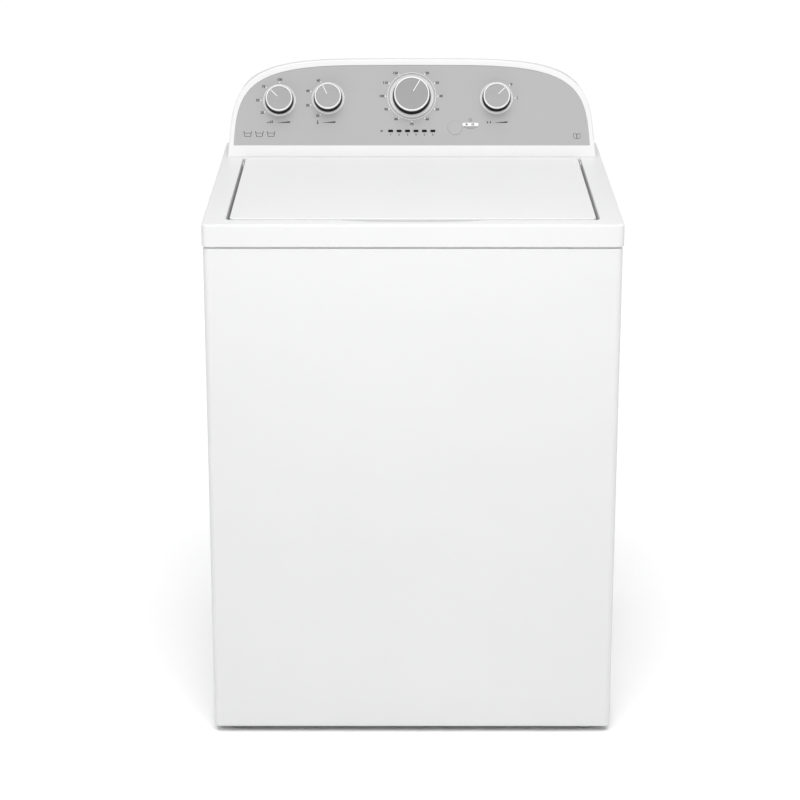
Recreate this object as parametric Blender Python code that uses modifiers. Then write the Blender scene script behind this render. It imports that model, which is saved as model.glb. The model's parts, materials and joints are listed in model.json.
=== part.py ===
"""Top load washing machine, modelled as its separate pieces.

Metres, +Z up. The front faces -Y. The origin is on the floor, under the middle of the machine.
"""
import math

import bmesh
import bpy
from mathutils import Matrix, Vector

# ---------------------------------------------------------------- driving dimensions
WIDTH = 0.699               # across the top panel
DEPTH = 0.686               # front of the top panel to the ends of the inlet threads
HEIGHT = 1.085              # floor to the ridge of the console
DECK_TOP = 0.918            # floor to the work surface
GAP = 0.0003                # clearance between pieces that rest on each other
SHEET = 0.0012              # painted steel sheet

# Cabinet
CABINET_BOTTOM = 0.010
CABINET_TOP = 0.877
CABINET_HALF = 0.3475
CABINET_FRONT = -0.341
CABINET_REAR = 0.3112
CABINET_CORNER = 0.009
REAR_FLANGE = 0.030
REAR_PANEL_Y = CABINET_REAR + GAP + SHEET
BRACE_DEPTH = 0.064
BRACE_FLANGE = 0.026
BRACE_BOTTOM = 0.012

# Levelling feet
FOOT_X = 0.305
FOOT_FRONT_Y = -0.305
FOOT_REAR_Y = 0.277
FOOT_RADIUS = 0.019
FOOT_PAD = 0.0095
STUD_RADIUS = 0.0045
STUD_TOP = 0.055

# Top panel
PANEL_HALF = WIDTH / 2
PANEL_FRONT = -DEPTH / 2
PANEL_REAR = 0.3128
PANEL_BOTTOM = 0.8795
PANEL_SHEET = 0.0015
PANEL_CORNER = 0.010
PANEL_EDGE = 0.005
LEDGE_TOP = 0.893
NECK_BOTTOM = 0.873
RECESS_HALF = 0.3105
RECESS_FRONT = -0.309
RECESS_REAR = 0.1735
RECESS_EDGE = 0.002
RECESS_FRONT_RADIUS = 0.0125
RECESS_REAR_RADIUS = 0.0095
NECK_HALF = 0.245
NECK_FRONT = -0.275
NECK_REAR = 0.140
NECK_RADIUS = 0.130
SCOOP_HALF = 0.135          # half the width of the finger scoop
SCOOP_REACH = 0.0105        # how far it reaches in front of the recess

# Lid
LID_HALF = 0.305
LID_FRONT = -0.305
LID_REAR = 0.162
LID_TOP = 0.920
LID_SKIRT = 0.901
LID_FRONT_RADIUS = 0.0095
LID_REAR_RADIUS = 0.014
HINGE_Y = 0.154
HINGE_Z = 0.905
PIN_RADIUS = 0.0032
LINER_REAR = 0.112
LINER_RADIUS = 0.0085
LINER_BOTTOM = 0.9022

# Lid lock, on the left ledge
STRIKE_X = -0.285
STRIKE_Y = -0.150
STRIKE_BOTTOM = 0.8685
BOLT_HALF = 0.003
BOLT_Z = 0.8765
BOLT_TIP = STRIKE_Y - 0.0065
BOLT_LENGTH = 0.044

# Console
CONSOLE_LEAN = math.radians(27)
CONSOLE_FRONT = 0.177
CONSOLE_BACK = 0.307
CONSOLE_BASE = DECK_TOP + GAP
CONSOLE_WALL = 0.0025
CONSOLE_EXPONENT = 4.3      # of the superellipse that shapes the console's outline
CONSOLE_TAPER = 0.06        # lost half-width for each unit up the face
CONSOLE_HALF = 0.339
CONSOLE_RISE = (HEIGHT - CONSOLE_BASE) / math.cos(CONSOLE_LEAN)
CONSOLE_BACK_HALF = 0.337
CONSOLE_BACK_RISE = 0.160
FASCIA_HALF = 0.330
FASCIA_RISE = 0.1755
FASCIA_BASE = 0.022
FASCIA_TOP = -0.0008        # its surface, measured along the face's normal
FASCIA_SHEET = 0.003
ARCH_STEPS = 18

# Controls, placed as (across, up the face)
KNOB_PLACES = {
    "load_knob": (-0.245, 0.108),
    "temperature_knob": (-0.155, 0.112),
    "cycle_knob": (0.0, 0.116),
    "rinse_knob": (0.157, 0.1125),
}
KNOB_RADIUS = {"cycle_knob": 0.0350}
SMALL_KNOB_RADIUS = 0.0262
KNOB_HEIGHT = 0.017
SHAFT_RADIUS = 0.004
SHAFT_END = -0.0125
SHAFT_HOLE = 0.0052
BUTTON_PLACE = (0.080, 0.056)
BUTTON_RADIUS = 0.0138
BUTTON_HOLE = 0.0142
LENS_PITCH = 0.0156
LENS_COUNT = 6
LENS_UP = 0.0496
LENS_SIZE = (0.0093, 0.0044)
BOARD_BACK = -0.030
BOARD_FRONT = -0.0284

# Water, drain and mains
VALVE_X = -0.200
VALVE_Z = 0.985
INLET_SPACING = 0.046
INLET_RADIUS = 0.0125
DRAIN_X = 0.150
DRAIN_Z = 0.300
CORD_X = 0.250
CORD_Z = 0.965

# Tub, basket and drive, about the tub's own upright axis
TUB_Y = -0.030
TUB_FLOOR = 0.335
TUB_TOP = 0.842
TUB_WALL = 0.0035
TUB_RADIUS = 0.272
EAR_BOTTOM = 0.360
EAR_TOP = 0.385
ROD_OFFSET = 0.262          # of each rod from the tub's axis, in X and in Y
ROD_RADIUS = 0.004
ROD_CAP_TOP = 0.2205
BRACE_TOP = 0.8495
BASKET_RADIUS = 0.250
BASKET_FLOOR = 0.352
BASKET_TOP = 0.800
BASKET_WALL = 0.0015
BALANCE_TOP = 0.838
SHAFT_BORE = 0.012
PULLEY_TOP = 0.206
PULLEY_BOTTOM = 0.184
PULLEY_GROOVE = 0.0745
MOTOR_X = -0.165
MOTOR_GROOVE = 0.0145
BELT_CLEARANCE = 0.0008
BELT_THICKNESS = 0.003
PUMP_X = 0.150
PUMP_Y = -0.045             # from the tub's axis
AUGER_BOTTOM = 0.603
AUGER_TOP = 0.770
CAP_TOP = 0.800

ROUND = 20                  # sides of a small round piece
WIDE_ROUND = 32             # sides of the tub and the basket

FINISHES = {                # colour, roughness, metallic
    "white_enamel": ((0.88, 0.89, 0.89), 0.30, 0.0),
    "white_plastic": ((0.90, 0.90, 0.89), 0.38, 0.0),
    "grey_fascia": ((0.50, 0.51, 0.52), 0.42, 0.0),
    "silver": ((0.60, 0.61, 0.62), 0.30, 0.9),
    "dark_plastic": ((0.02, 0.02, 0.022), 0.45, 0.0),
    "grey_plastic": ((0.42, 0.44, 0.46), 0.50, 0.0),
    "tub_plastic": ((0.70, 0.73, 0.74), 0.50, 0.0),
    "galvanised": ((0.55, 0.57, 0.58), 0.45, 0.9),
    "stainless": ((0.62, 0.63, 0.64), 0.28, 1.0),
    "steel": ((0.35, 0.36, 0.37), 0.40, 1.0),
    "aluminium": ((0.60, 0.61, 0.62), 0.50, 1.0),
    "rubber": ((0.03, 0.03, 0.03), 0.80, 0.0),
    "board_green": ((0.03, 0.18, 0.09), 0.50, 0.0),
    "cap_blue": ((0.20, 0.32, 0.48), 0.45, 0.0),
}


# ---------------------------------------------------------------- scene and object helpers
def clear_scene():
    """Remove everything that the file opens with."""
    for obj in list(bpy.data.objects):
        bpy.data.objects.remove(obj, do_unlink=True)


def new_collection(name):
    """A collection of this name, linked to the scene."""
    collection = bpy.data.collections.new(name)
    bpy.context.scene.collection.children.link(collection)
    return collection


def finish_material(finish):
    """The Principled material of this finish, made once."""
    if finish in bpy.data.materials:
        return bpy.data.materials[finish]
    colour, roughness, metallic = FINISHES[finish]
    material = bpy.data.materials.new(finish)
    material.use_nodes = True
    shader = material.node_tree.nodes["Principled BSDF"]
    shader.inputs["Base Color"].default_value = (*colour, 1.0)
    shader.inputs["Roughness"].default_value = roughness
    shader.inputs["Metallic"].default_value = metallic
    material.diffuse_color = (*colour, 1.0)
    return material


def add_object(name, data, finish, parent=None, location=(0, 0, 0), rotation=(0, 0, 0)):
    """Put data in the scene, as a piece, or as a cutter where finish is None."""
    obj = bpy.data.objects.new(name, data)
    collection = PARTS if finish else CUTTERS
    collection.objects.link(obj)
    obj.parent = parent
    obj.location = location
    obj.rotation_euler = rotation
    if finish:
        data.materials.append(finish_material(finish))
    else:
        obj.hide_render = True
        obj.display_type = "WIRE"
    return obj


def add_frame(name, parent=None, location=(0, 0, 0), rotation=(0, 0, 0)):
    """An empty that carries the pieces built in its own axes."""
    frame = bpy.data.objects.new(name, None)
    PARTS.objects.link(frame)
    frame.parent = parent
    frame.location = location
    frame.rotation_euler = rotation
    frame.empty_display_size = 0.05
    return frame


def mesh_from(bm, name):
    """Turn a bmesh into a mesh, shaded smooth but for its sharp edges."""
    mesh = bpy.data.meshes.new(name)
    bm.to_mesh(mesh)
    bm.free()
    mesh.shade_smooth()
    mesh.set_sharp_from_angle(angle=math.radians(35))
    return mesh


def boolean(obj, operation, others):
    """Cut or join an object with others by exact Boolean modifiers."""
    for other in others:
        modifier = obj.modifiers.new(operation.title(), "BOOLEAN")
        modifier.operation = operation
        modifier.solver = "EXACT"
        modifier.object = other
    return obj


def cut(obj, *cutters):
    """Take the cutters out of the object."""
    return boolean(obj, "DIFFERENCE", cutters)


def join(obj, *pieces):
    """Fuse the pieces, which are cutters by kind, into the object."""
    return boolean(obj, "UNION", pieces)


def solidify(obj, thickness):
    """Thicken an open surface on the side that its faces turn away from."""
    modifier = obj.modifiers.new("Sheet", "SOLIDIFY")
    modifier.thickness = thickness
    modifier.offset = -1.0
    modifier.use_even_offset = True
    return obj


# ---------------------------------------------------------------- shapes
def box(name, low, high, finish=None, **placing):
    """A box between two corners."""
    size = [b - a for a, b in zip(low, high)]
    middle = [(a + b) / 2 for a, b in zip(low, high)]
    bm = bmesh.new()
    bmesh.ops.create_cube(bm, size=1.0, matrix=Matrix.Translation(middle) @ Matrix.Diagonal((*size, 1)))
    return add_object(name, mesh_from(bm, name), finish, **placing)


def bar(name, radius, start, end, finish=None, sides=ROUND, **placing):
    """A round bar between two points."""
    start = Vector(start)
    run = Vector(end) - start
    turn = run.to_track_quat("Z", "Y").to_matrix().to_4x4()
    matrix = Matrix.Translation(start + run / 2) @ turn
    bm = bmesh.new()
    bmesh.ops.create_cone(bm, cap_ends=True, segments=sides, radius1=radius, radius2=radius,
                          depth=run.length, matrix=matrix)
    return add_object(name, mesh_from(bm, name), finish, **placing)


def turned(name, profile, finish=None, ring=False, sides=ROUND, **placing):
    """Turn a profile of (radius, height) about Z. A ring's profile is closed."""
    bm = bmesh.new()
    points = [bm.verts.new((radius, 0, height)) for radius, height in profile]
    for first, second in zip(points, points[1:]):
        bm.edges.new((first, second))
    if ring:
        bm.edges.new((points[-1], points[0]))
    obj = add_object(name, mesh_from(bm, name), finish, **placing)
    screw = obj.modifiers.new("Turn", "SCREW")
    screw.axis = "Z"
    screw.steps = sides
    screw.render_steps = sides
    screw.use_merge_vertices = True
    screw.merge_threshold = 0.00001
    return obj


def loft(name, loops, finish=None, cap_first=False, cap_last=False, **placing):
    """Skin closed loops that have the same number of points."""
    bm = bmesh.new()
    rings = [[bm.verts.new(point) for point in loop] for loop in loops]
    count = len(rings[0])
    for lower, upper in zip(rings, rings[1:]):
        for i in range(count):
            j = (i + 1) % count
            bm.faces.new((lower[i], lower[j], upper[j], upper[i]))
    if cap_first:
        bm.faces.new(rings[0][::-1])
    if cap_last:
        bm.faces.new(rings[-1])
    return add_object(name, mesh_from(bm, name), finish, **placing)


def folded(name, path, low, high, finish=None, closed=False, **placing):
    """A sheet that stands on a path in XY and faces away from the path's left side."""
    bm = bmesh.new()
    feet = [bm.verts.new((x, y, low)) for x, y in path]
    edges = [bm.edges.new(pair) for pair in zip(feet, feet[1:])]
    if closed:
        edges.append(bm.edges.new((feet[-1], feet[0])))
    raised = bmesh.ops.extrude_edge_only(bm, edges=edges)["geom"]
    tops = [item for item in raised if isinstance(item, bmesh.types.BMVert)]
    bmesh.ops.translate(bm, verts=tops, vec=(0, 0, high - low))
    bmesh.ops.reverse_faces(bm, faces=bm.faces)
    return add_object(name, mesh_from(bm, name), finish, **placing)


def plate(name, outlines, thickness, finish=None, **placing):
    """A flat plate: the first outline is its edge, the others are holes."""
    curve = bpy.data.curves.new(name, "CURVE")
    curve.dimensions = "2D"
    curve.fill_mode = "BOTH"
    curve.extrude = thickness / 2
    for outline in outlines:
        spline = curve.splines.new("POLY")
        spline.points.add(len(outline) - 1)
        for point, (x, y) in zip(spline.points, outline):
            point.co = (x, y, 0, 1)
        spline.use_cyclic_u = True
    return add_object(name, curve, finish, **placing)


def wire(name, points, radius, finish=None, resolution=2, **placing):
    """A round wire or tube along points, with closed ends."""
    curve = bpy.data.curves.new(name, "CURVE")
    curve.dimensions = "3D"
    curve.bevel_depth = radius
    curve.bevel_resolution = resolution
    curve.use_fill_caps = True
    spline = curve.splines.new("POLY")
    spline.points.add(len(points) - 1)
    for point, place in zip(spline.points, points):
        point.co = (*place, 1)
    return add_object(name, curve, finish, **placing)


def as_mesh(obj):
    """The same object with its curve made a welded mesh, ready to cut or join."""
    bpy.context.view_layer.update()
    evaluated = obj.evaluated_get(bpy.context.evaluated_depsgraph_get())
    mesh = bpy.data.meshes.new_from_object(evaluated)
    bm = bmesh.new()
    bm.from_mesh(mesh)
    bmesh.ops.remove_doubles(bm, verts=bm.verts, dist=0.00001)
    bm.to_mesh(mesh)
    bm.free()
    solid = bpy.data.objects.new(obj.name, mesh)
    obj.users_collection[0].objects.link(solid)
    solid.hide_render = obj.hide_render
    solid.display_type = obj.display_type
    solid.parent = obj.parent
    solid.matrix_world = obj.matrix_world
    name = obj.name
    bpy.data.objects.remove(obj)
    solid.name = name
    return solid


# ---------------------------------------------------------------- outlines
def arc(centre_x, centre_y, radius, start, end, steps):
    """Points on an arc, with both angles in degrees."""
    points = []
    for i in range(steps + 1):
        angle = math.radians(start + (end - start) * i / steps)
        points.append((centre_x + radius * math.cos(angle), centre_y + radius * math.sin(angle)))
    return points


def circle(centre_x, centre_y, radius, sides=ROUND):
    """A circle as a closed outline."""
    return arc(centre_x, centre_y, radius, 0, 360 - 360 / sides, sides - 1)


def panel_outline(half, front, rear, front_radius, rear_radius, reach=0.0):
    """A rounded rectangle seen from above, whose front edge can reach out in the middle."""
    steps = 3
    front_points = 9
    middle = min(SCOOP_HALF, 0.95 * (half - front_radius))
    outline = arc(-half + front_radius, front + front_radius, front_radius, 180, 270, steps)
    for i in range(front_points):
        across = -1 + 2 * i / (front_points - 1)
        outline.append((across * middle, front - reach * (1 - across ** 4) ** 2))
    outline += arc(half - front_radius, front + front_radius, front_radius, 270, 360, steps)
    outline += arc(half - rear_radius, rear - rear_radius, rear_radius, 0, 90, steps)
    outline += arc(-half + rear_radius, rear - rear_radius, rear_radius, 90, 180, steps)
    return outline


def at_height(outline, z):
    """Lift a flat outline to a height."""
    return [(x, y, z) for x, y in outline]


def arch_outline(half, rise, base=0.0):
    """The console's outline as (across, up), from its right foot over the top to its left."""
    power = 2 / CONSOLE_EXPONENT
    first = math.asin((base / rise) ** (1 / power))
    points = []
    for i in range(ARCH_STEPS + 1):
        angle = first + (math.pi - 2 * first) * i / ARCH_STEPS
        up = rise * math.sin(angle) ** power
        reach = (half - CONSOLE_TAPER * up) * abs(math.cos(angle)) ** power
        points.append((math.copysign(reach, math.cos(angle)), up))
    return points


def on_face(outline):
    """World points of an outline drawn on the leaning console face."""
    lean = CONSOLE_LEAN
    return [(x, CONSOLE_FRONT + up * math.sin(lean), CONSOLE_BASE + up * math.cos(lean))
            for x, up in outline]


# ---------------------------------------------------------------- cabinet
def cabinet_wrap():
    """Front and both sides folded from one sheet, with flanges at the rear."""
    r = CABINET_CORNER
    half = CABINET_HALF
    path = [(-half + REAR_FLANGE, CABINET_REAR)]
    path += arc(-half + r, CABINET_REAR - r, r, 90, 180, 3)
    path += arc(-half + r, CABINET_FRONT + r, r, 180, 270, 4)
    path += arc(half - r, CABINET_FRONT + r, r, 270, 360, 4)
    path += arc(half - r, CABINET_REAR - r, r, 0, 90, 3)
    path.append((half - REAR_FLANGE, CABINET_REAR))
    wrap = folded("cabinet_wrap", path, CABINET_BOTTOM, CABINET_TOP, "white_enamel")
    solidify(wrap, SHEET)


def rear_panel():
    """Flat rear wall on the flanges, with the hole for the drain outlet."""
    half = CABINET_HALF - 0.004
    low = 0.045
    outline = [(-half, low), (half, low), (half, CABINET_TOP), (-half, CABINET_TOP)]
    hole = circle(DRAIN_X, DRAIN_Z, 0.020)
    plate("rear_panel", [outline, hole], SHEET, "galvanised",
          location=(0, REAR_PANEL_Y - SHEET / 2, 0), rotation=(math.radians(90), 0, 0))


def base_brace(name, front, foot_y):
    """Channel across the bottom that carries two levelling feet."""
    rear = front + BRACE_DEPTH
    half = CABINET_HALF - CABINET_CORNER - GAP
    flange = BRACE_BOTTOM + BRACE_FLANGE
    path = [(front, flange), (front, BRACE_BOTTOM), (rear, BRACE_BOTTOM), (rear, flange)]
    quarter = math.radians(90)
    brace = folded(name, path, -half, half, "galvanised", rotation=(quarter, 0, quarter))
    solidify(brace, SHEET)
    for side in (-1, 1):
        hole = bar(name + "_hole", STUD_RADIUS + 0.0012, (side * FOOT_X, foot_y, 0),
                   (side * FOOT_X, foot_y, 0.03), sides=16)
        cut(brace, hole)


def levelling_foot(name, x, y):
    """Threaded stud with a flat pad."""
    profile = [(0, STUD_TOP), (STUD_RADIUS - 0.001, STUD_TOP), (STUD_RADIUS, STUD_TOP - 0.001),
               (STUD_RADIUS, FOOT_PAD), (FOOT_RADIUS - 0.002, FOOT_PAD),
               (FOOT_RADIUS, FOOT_PAD - 0.003), (FOOT_RADIUS, 0.001), (FOOT_RADIUS - 0.001, 0), (0, 0)]
    turned(name, profile, "rubber", sides=12, location=(x, y, 0))


def corner_brace(name, side, end, rod_y):
    """Plate in a top corner of the cabinet, with the hole that a rod hangs in."""
    wall_x = CABINET_HALF - SHEET - GAP * 2
    wall_y = (CABINET_REAR if end > 0 else CABINET_FRONT) - end * (SHEET + GAP * 2)
    clip = CABINET_CORNER
    inner = rod_y - end * 0.042
    outline = [(wall_x - clip, wall_y), (wall_x, wall_y - end * clip), (wall_x, inner),
               (ROD_OFFSET + 0.028, inner), (ROD_OFFSET - 0.037, rod_y - end * 0.008),
               (ROD_OFFSET - 0.037, wall_y)]
    outline = [(side * x, y) for x, y in outline]
    hole = circle(side * ROD_OFFSET, rod_y, ROD_RADIUS + 0.0015, 12)
    thickness = 0.0015
    plate(name, [outline, hole], thickness, "galvanised", location=(0, 0, BRACE_TOP - thickness / 2))


def suspension_rod(name, x, y):
    """Rod that hangs from its ball end and carries a spring on its cap."""
    profile = [(0, BRACE_TOP + 0.0145), (0.006, BRACE_TOP + 0.013), (0.009, BRACE_TOP + 0.0085),
               (0.009, BRACE_TOP + GAP), (ROD_RADIUS, BRACE_TOP + GAP), (ROD_RADIUS, ROD_CAP_TOP),
               (0.017, ROD_CAP_TOP), (0.019, ROD_CAP_TOP - 0.005), (0.016, ROD_CAP_TOP - 0.015),
               (0, ROD_CAP_TOP - 0.015)]
    turned(name, profile, "steel", sides=10, location=(x, y, 0))


def suspension_spring(name, x, y):
    """Compression spring between the rod's cap and the tub's ear."""
    wire_radius = 0.0016
    coil_radius = 0.0135
    turns = 6
    steps = 6
    low = ROD_CAP_TOP + wire_radius + GAP
    high = EAR_BOTTOM - wire_radius - GAP
    points = []
    for i in range(turns * steps + 1):
        angle = math.tau * i / steps
        height = low + (high - low) * i / (turns * steps)
        points.append((coil_radius * math.cos(angle), coil_radius * math.sin(angle), height))
    wire(name, points, wire_radius, "steel", resolution=0, location=(x, y, 0))


def cabinet():
    """Everything of the cabinet below the top panel."""
    cabinet_wrap()
    rear_panel()
    brace_front = CABINET_FRONT + SHEET + GAP * 2
    brace_rear = CABINET_REAR - SHEET - GAP * 2 - BRACE_DEPTH
    base_brace("front_base_brace", brace_front, FOOT_FRONT_Y)
    base_brace("rear_base_brace", brace_rear, FOOT_REAR_Y)
    for side_name, side in (("left", -1), ("right", 1)):
        for end_name, end, foot_y in (("front", -1, FOOT_FRONT_Y), ("rear", 1, FOOT_REAR_Y)):
            corner = end_name + "_" + side_name
            rod_y = TUB_Y + end * ROD_OFFSET
            levelling_foot("levelling_foot_" + corner, side * FOOT_X, foot_y)
            corner_brace("corner_brace_" + corner, side, end, rod_y)
            suspension_rod("suspension_rod_" + corner, side * ROD_OFFSET, rod_y)
            suspension_spring("suspension_spring_" + corner, side * ROD_OFFSET, rod_y)


# ---------------------------------------------------------------- top panel and lid
def top_panel():
    """Deck with its skirt, the lid's recess, the ledge and the neck over the basket."""
    def outer(inset, z):
        return at_height(panel_outline(PANEL_HALF - inset, PANEL_FRONT + inset, PANEL_REAR - inset,
                                       PANEL_CORNER - inset, PANEL_CORNER - inset), z)

    def recess(grow, z):
        return at_height(panel_outline(RECESS_HALF + grow, RECESS_FRONT - grow, RECESS_REAR + grow,
                                       RECESS_FRONT_RADIUS + grow, RECESS_REAR_RADIUS + grow, SCOOP_REACH), z)

    def neck(z):
        return at_height(panel_outline(NECK_HALF, NECK_FRONT, NECK_REAR, NECK_RADIUS, NECK_RADIUS), z)

    edge = PANEL_EDGE
    loops = [outer(0, PANEL_BOTTOM), outer(0, DECK_TOP - edge), outer(edge * 0.29, DECK_TOP - edge * 0.29),
             outer(edge, DECK_TOP), recess(RECESS_EDGE, DECK_TOP), recess(0, DECK_TOP - RECESS_EDGE),
             recess(0, LEDGE_TOP), neck(LEDGE_TOP), neck(NECK_BOTTOM)]
    panel = loft("top_panel", loops, "white_enamel")
    solidify(panel, PANEL_SHEET)
    slot = box("strike_slot", (STRIKE_X - 0.011, STRIKE_Y - 0.010, LEDGE_TOP - 0.01),
               (STRIKE_X + 0.011, STRIKE_Y + 0.012, LEDGE_TOP + 0.004))
    cut(panel, slot)
    for side in (-1, 1):
        cut(panel, bar("bushing_hole", 0.0070, (side * (RECESS_HALF - 0.004), HINGE_Y, HINGE_Z),
                       (side * (RECESS_HALF + 0.006), HINGE_Y, HINGE_Z)))


def hinge_bushing(name, side):
    """Flanged bush in the recess wall that the hinge pin turns in."""
    inner = PIN_RADIUS + 0.0004
    profile = [(0.0090, 0), (0.0090, -0.0015), (0.0066, -0.0015), (0.0066, -0.0130),
               (inner, -0.0130), (inner, 0)]
    turned(name, profile, "white_plastic", ring=True, sides=12,
           location=(side * (RECESS_HALF - GAP - 0.0015), HINGE_Y, HINGE_Z),
           rotation=(0, math.radians(-90 * side), 0))


def lid_panel(axis):
    """Painted lid, open below, with a notch at each rear corner for the hinge pin."""
    def outline(inset, z):
        loop = panel_outline(LID_HALF - inset, LID_FRONT + inset, LID_REAR - inset,
                             LID_FRONT_RADIUS - inset, LID_REAR_RADIUS - inset)
        return [(x, y - HINGE_Y, z - HINGE_Z) for x, y in loop]

    edge = 0.003
    loops = [outline(0, LID_SKIRT), outline(0, LID_TOP - edge), outline(edge * 0.29, LID_TOP - edge * 0.29),
             outline(edge, LID_TOP)]
    lid = loft("lid", loops, "white_enamel", cap_last=True, parent=axis)
    solidify(lid, SHEET)
    for side in (-1, 1):
        inner, outer = sorted((side * 0.2945, side * 0.308))
        cut(lid, box("pin_notch", (inner, -0.005, -0.010), (outer, 0.005, 0.005), parent=axis))


def lid_hinge(name, side, axis):
    """Bracket under the lid with its hinge pin."""
    def span(near, far):
        return sorted((side * near, side * far))

    leaf_x = span(0.262, 0.2925)
    ear_x = span(0.2885, 0.2925)
    under = LID_TOP - SHEET - GAP - HINGE_Z
    hinge = box(name, (leaf_x[0], -0.036, under - 0.003), (leaf_x[1], 0.0045, under), "steel", parent=axis)
    join(hinge, box(name + "_ear", (ear_x[0], -0.006, -0.005), (ear_x[1], 0.004, under - 0.001), parent=axis),
         bar(name + "_pin", PIN_RADIUS, (side * 0.290, 0, 0), (side * 0.3225, 0, 0), parent=axis))


def lid():
    """The lid and all that swings with it, built about the hinge axis."""
    axis = add_frame("lid_axis", location=(0, HINGE_Y, HINGE_Z))
    lid_panel(axis)
    lid_hinge("lid_hinge_left", -1, axis)
    lid_hinge("lid_hinge_right", 1, axis)
    inset = SHEET + 0.0012
    outline = panel_outline(LID_HALF - inset, LID_FRONT + inset, LINER_REAR, LINER_RADIUS, LINER_RADIUS)
    liner = [(x, y - HINGE_Y) for x, y in outline]
    liner_sheet = 0.0015
    plate("lid_liner", [liner], liner_sheet, "white_plastic", parent=axis,
          location=(0, 0, LINER_BOTTOM + liner_sheet / 2 - HINGE_Z))
    strike = box("lid_strike", (STRIKE_X - 0.008, STRIKE_Y - 0.0015 - HINGE_Y, STRIKE_BOTTOM - HINGE_Z),
                 (STRIKE_X + 0.008, STRIKE_Y + 0.0015 - HINGE_Y, LINER_BOTTOM - GAP - HINGE_Z),
                 "steel", parent=axis)
    window = BOLT_HALF + 0.001
    cut(strike, box("strike_window", (STRIKE_X - window, STRIKE_Y - 0.01 - HINGE_Y, BOLT_Z - window - HINGE_Z),
                    (STRIKE_X + window, STRIKE_Y + 0.01 - HINGE_Y, BOLT_Z + window - HINGE_Z), parent=axis))


def lid_lock():
    """Housing under the left ledge and the bolt that slides out of it."""
    roof = LEDGE_TOP - PANEL_SHEET - GAP
    housing_front = STRIKE_Y - 0.085
    housing_rear = STRIKE_Y - 0.010
    housing = box("lid_lock", (STRIKE_X - 0.018, housing_front, 0.866), (STRIKE_X + 0.018, housing_rear, roof),
                  "dark_plastic")
    slide = BOLT_HALF + 0.0004
    cut(housing, box("bolt_channel", (STRIKE_X - slide, BOLT_TIP - BOLT_LENGTH - 0.004, BOLT_Z - slide),
                     (STRIKE_X + slide, housing_rear + 0.005, BOLT_Z + slide)))
    box("lock_bolt", (-BOLT_HALF, -BOLT_LENGTH, -BOLT_HALF), (BOLT_HALF, 0, BOLT_HALF), "steel",
        location=(STRIKE_X, BOLT_TIP, BOLT_Z))


# ---------------------------------------------------------------- console
def console_shell():
    """White housing: arched roof, floor, and the front rim round the fascia."""
    back = [(x, CONSOLE_BACK, CONSOLE_BASE + up)
            for x, up in arch_outline(CONSOLE_BACK_HALF, CONSOLE_BACK_RISE)]
    front = on_face(arch_outline(CONSOLE_HALF, CONSOLE_RISE))
    fit = GAP * 1.5
    opening = on_face(arch_outline(FASCIA_HALF + fit, FASCIA_RISE + fit, FASCIA_BASE - fit))
    shell = loft("console_shell", [back, front, opening], "white_plastic")
    solidify(shell, CONSOLE_WALL)


def lens_outline(x, grow):
    """Round-ended outline of one indicator lens."""
    radius = LENS_SIZE[1] / 2 + grow
    straight = (LENS_SIZE[0] - LENS_SIZE[1]) / 2
    return (arc(x + straight, LENS_UP, radius, -90, 90, 4)
            + arc(x - straight, LENS_UP, radius, 90, 270, 4))


def lens_places():
    """The lenses' places across the face."""
    return [(i - (LENS_COUNT - 1) / 2) * LENS_PITCH for i in range(LENS_COUNT)]


def console_fascia(face):
    """Grey panel with the holes for shafts, lenses and the start button."""
    outlines = [arch_outline(FASCIA_HALF, FASCIA_RISE, FASCIA_BASE)]
    outlines += [circle(x, up, SHAFT_HOLE, 16) for x, up in KNOB_PLACES.values()]
    outlines.append(circle(*BUTTON_PLACE, BUTTON_HOLE))
    outlines += [lens_outline(x, GAP) for x in lens_places()]
    plate("console_fascia", outlines, FASCIA_SHEET, "grey_fascia", parent=face,
          location=(0, 0, FASCIA_TOP - FASCIA_SHEET / 2))


def indicator_lenses(face):
    """One moulded strip whose six lenses stand in the fascia's slots."""
    back = FASCIA_TOP - FASCIA_SHEET - GAP
    half = LENS_PITCH * LENS_COUNT / 2
    strip = box("indicator_lenses", (-half, LENS_UP - 0.005, back - 0.003), (half, LENS_UP + 0.005, back),
                "dark_plastic", parent=face)
    root = back - 0.001
    for x in lens_places():
        lens = plate("lens", [lens_outline(x, 0)], FASCIA_TOP + GAP - root, parent=face,
                     location=(0, 0, (root + FASCIA_TOP + GAP) / 2))
        join(strip, as_mesh(lens))


def knob(name, face):
    """Turned knob with its shaft, built about its own axis."""
    radius = KNOB_RADIUS.get(name, SMALL_KNOB_RADIUS)
    under = FASCIA_TOP + GAP
    top = KNOB_HEIGHT
    profile = [(0, top - 0.0012), (radius * 0.80, top - 0.0012), (radius * 0.84, top),
               (radius * 0.90, top), (radius * 0.925, top - 0.0012), (radius, under + 0.003),
               (radius, under), (SHAFT_RADIUS, under), (SHAFT_RADIUS, SHAFT_END), (0, SHAFT_END)]
    turned(name, profile, "silver", parent=face, location=(*KNOB_PLACES[name], 0))


def start_button(face):
    """Round button held behind the fascia by its flange."""
    top = FASCIA_TOP + 0.0008
    flange = FASCIA_TOP - FASCIA_SHEET - GAP
    profile = [(0, top), (BUTTON_RADIUS - 0.001, top), (BUTTON_RADIUS, top - 0.0006),
               (BUTTON_RADIUS, flange), (BUTTON_RADIUS + 0.0022, flange),
               (BUTTON_RADIUS + 0.0022, flange - 0.0015), (0.005, flange - 0.0015), (0.005, flange - 0.010),
               (0, flange - 0.010)]
    turned("start_button", profile, "grey_fascia", parent=face, location=(*BUTTON_PLACE, 0))


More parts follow.
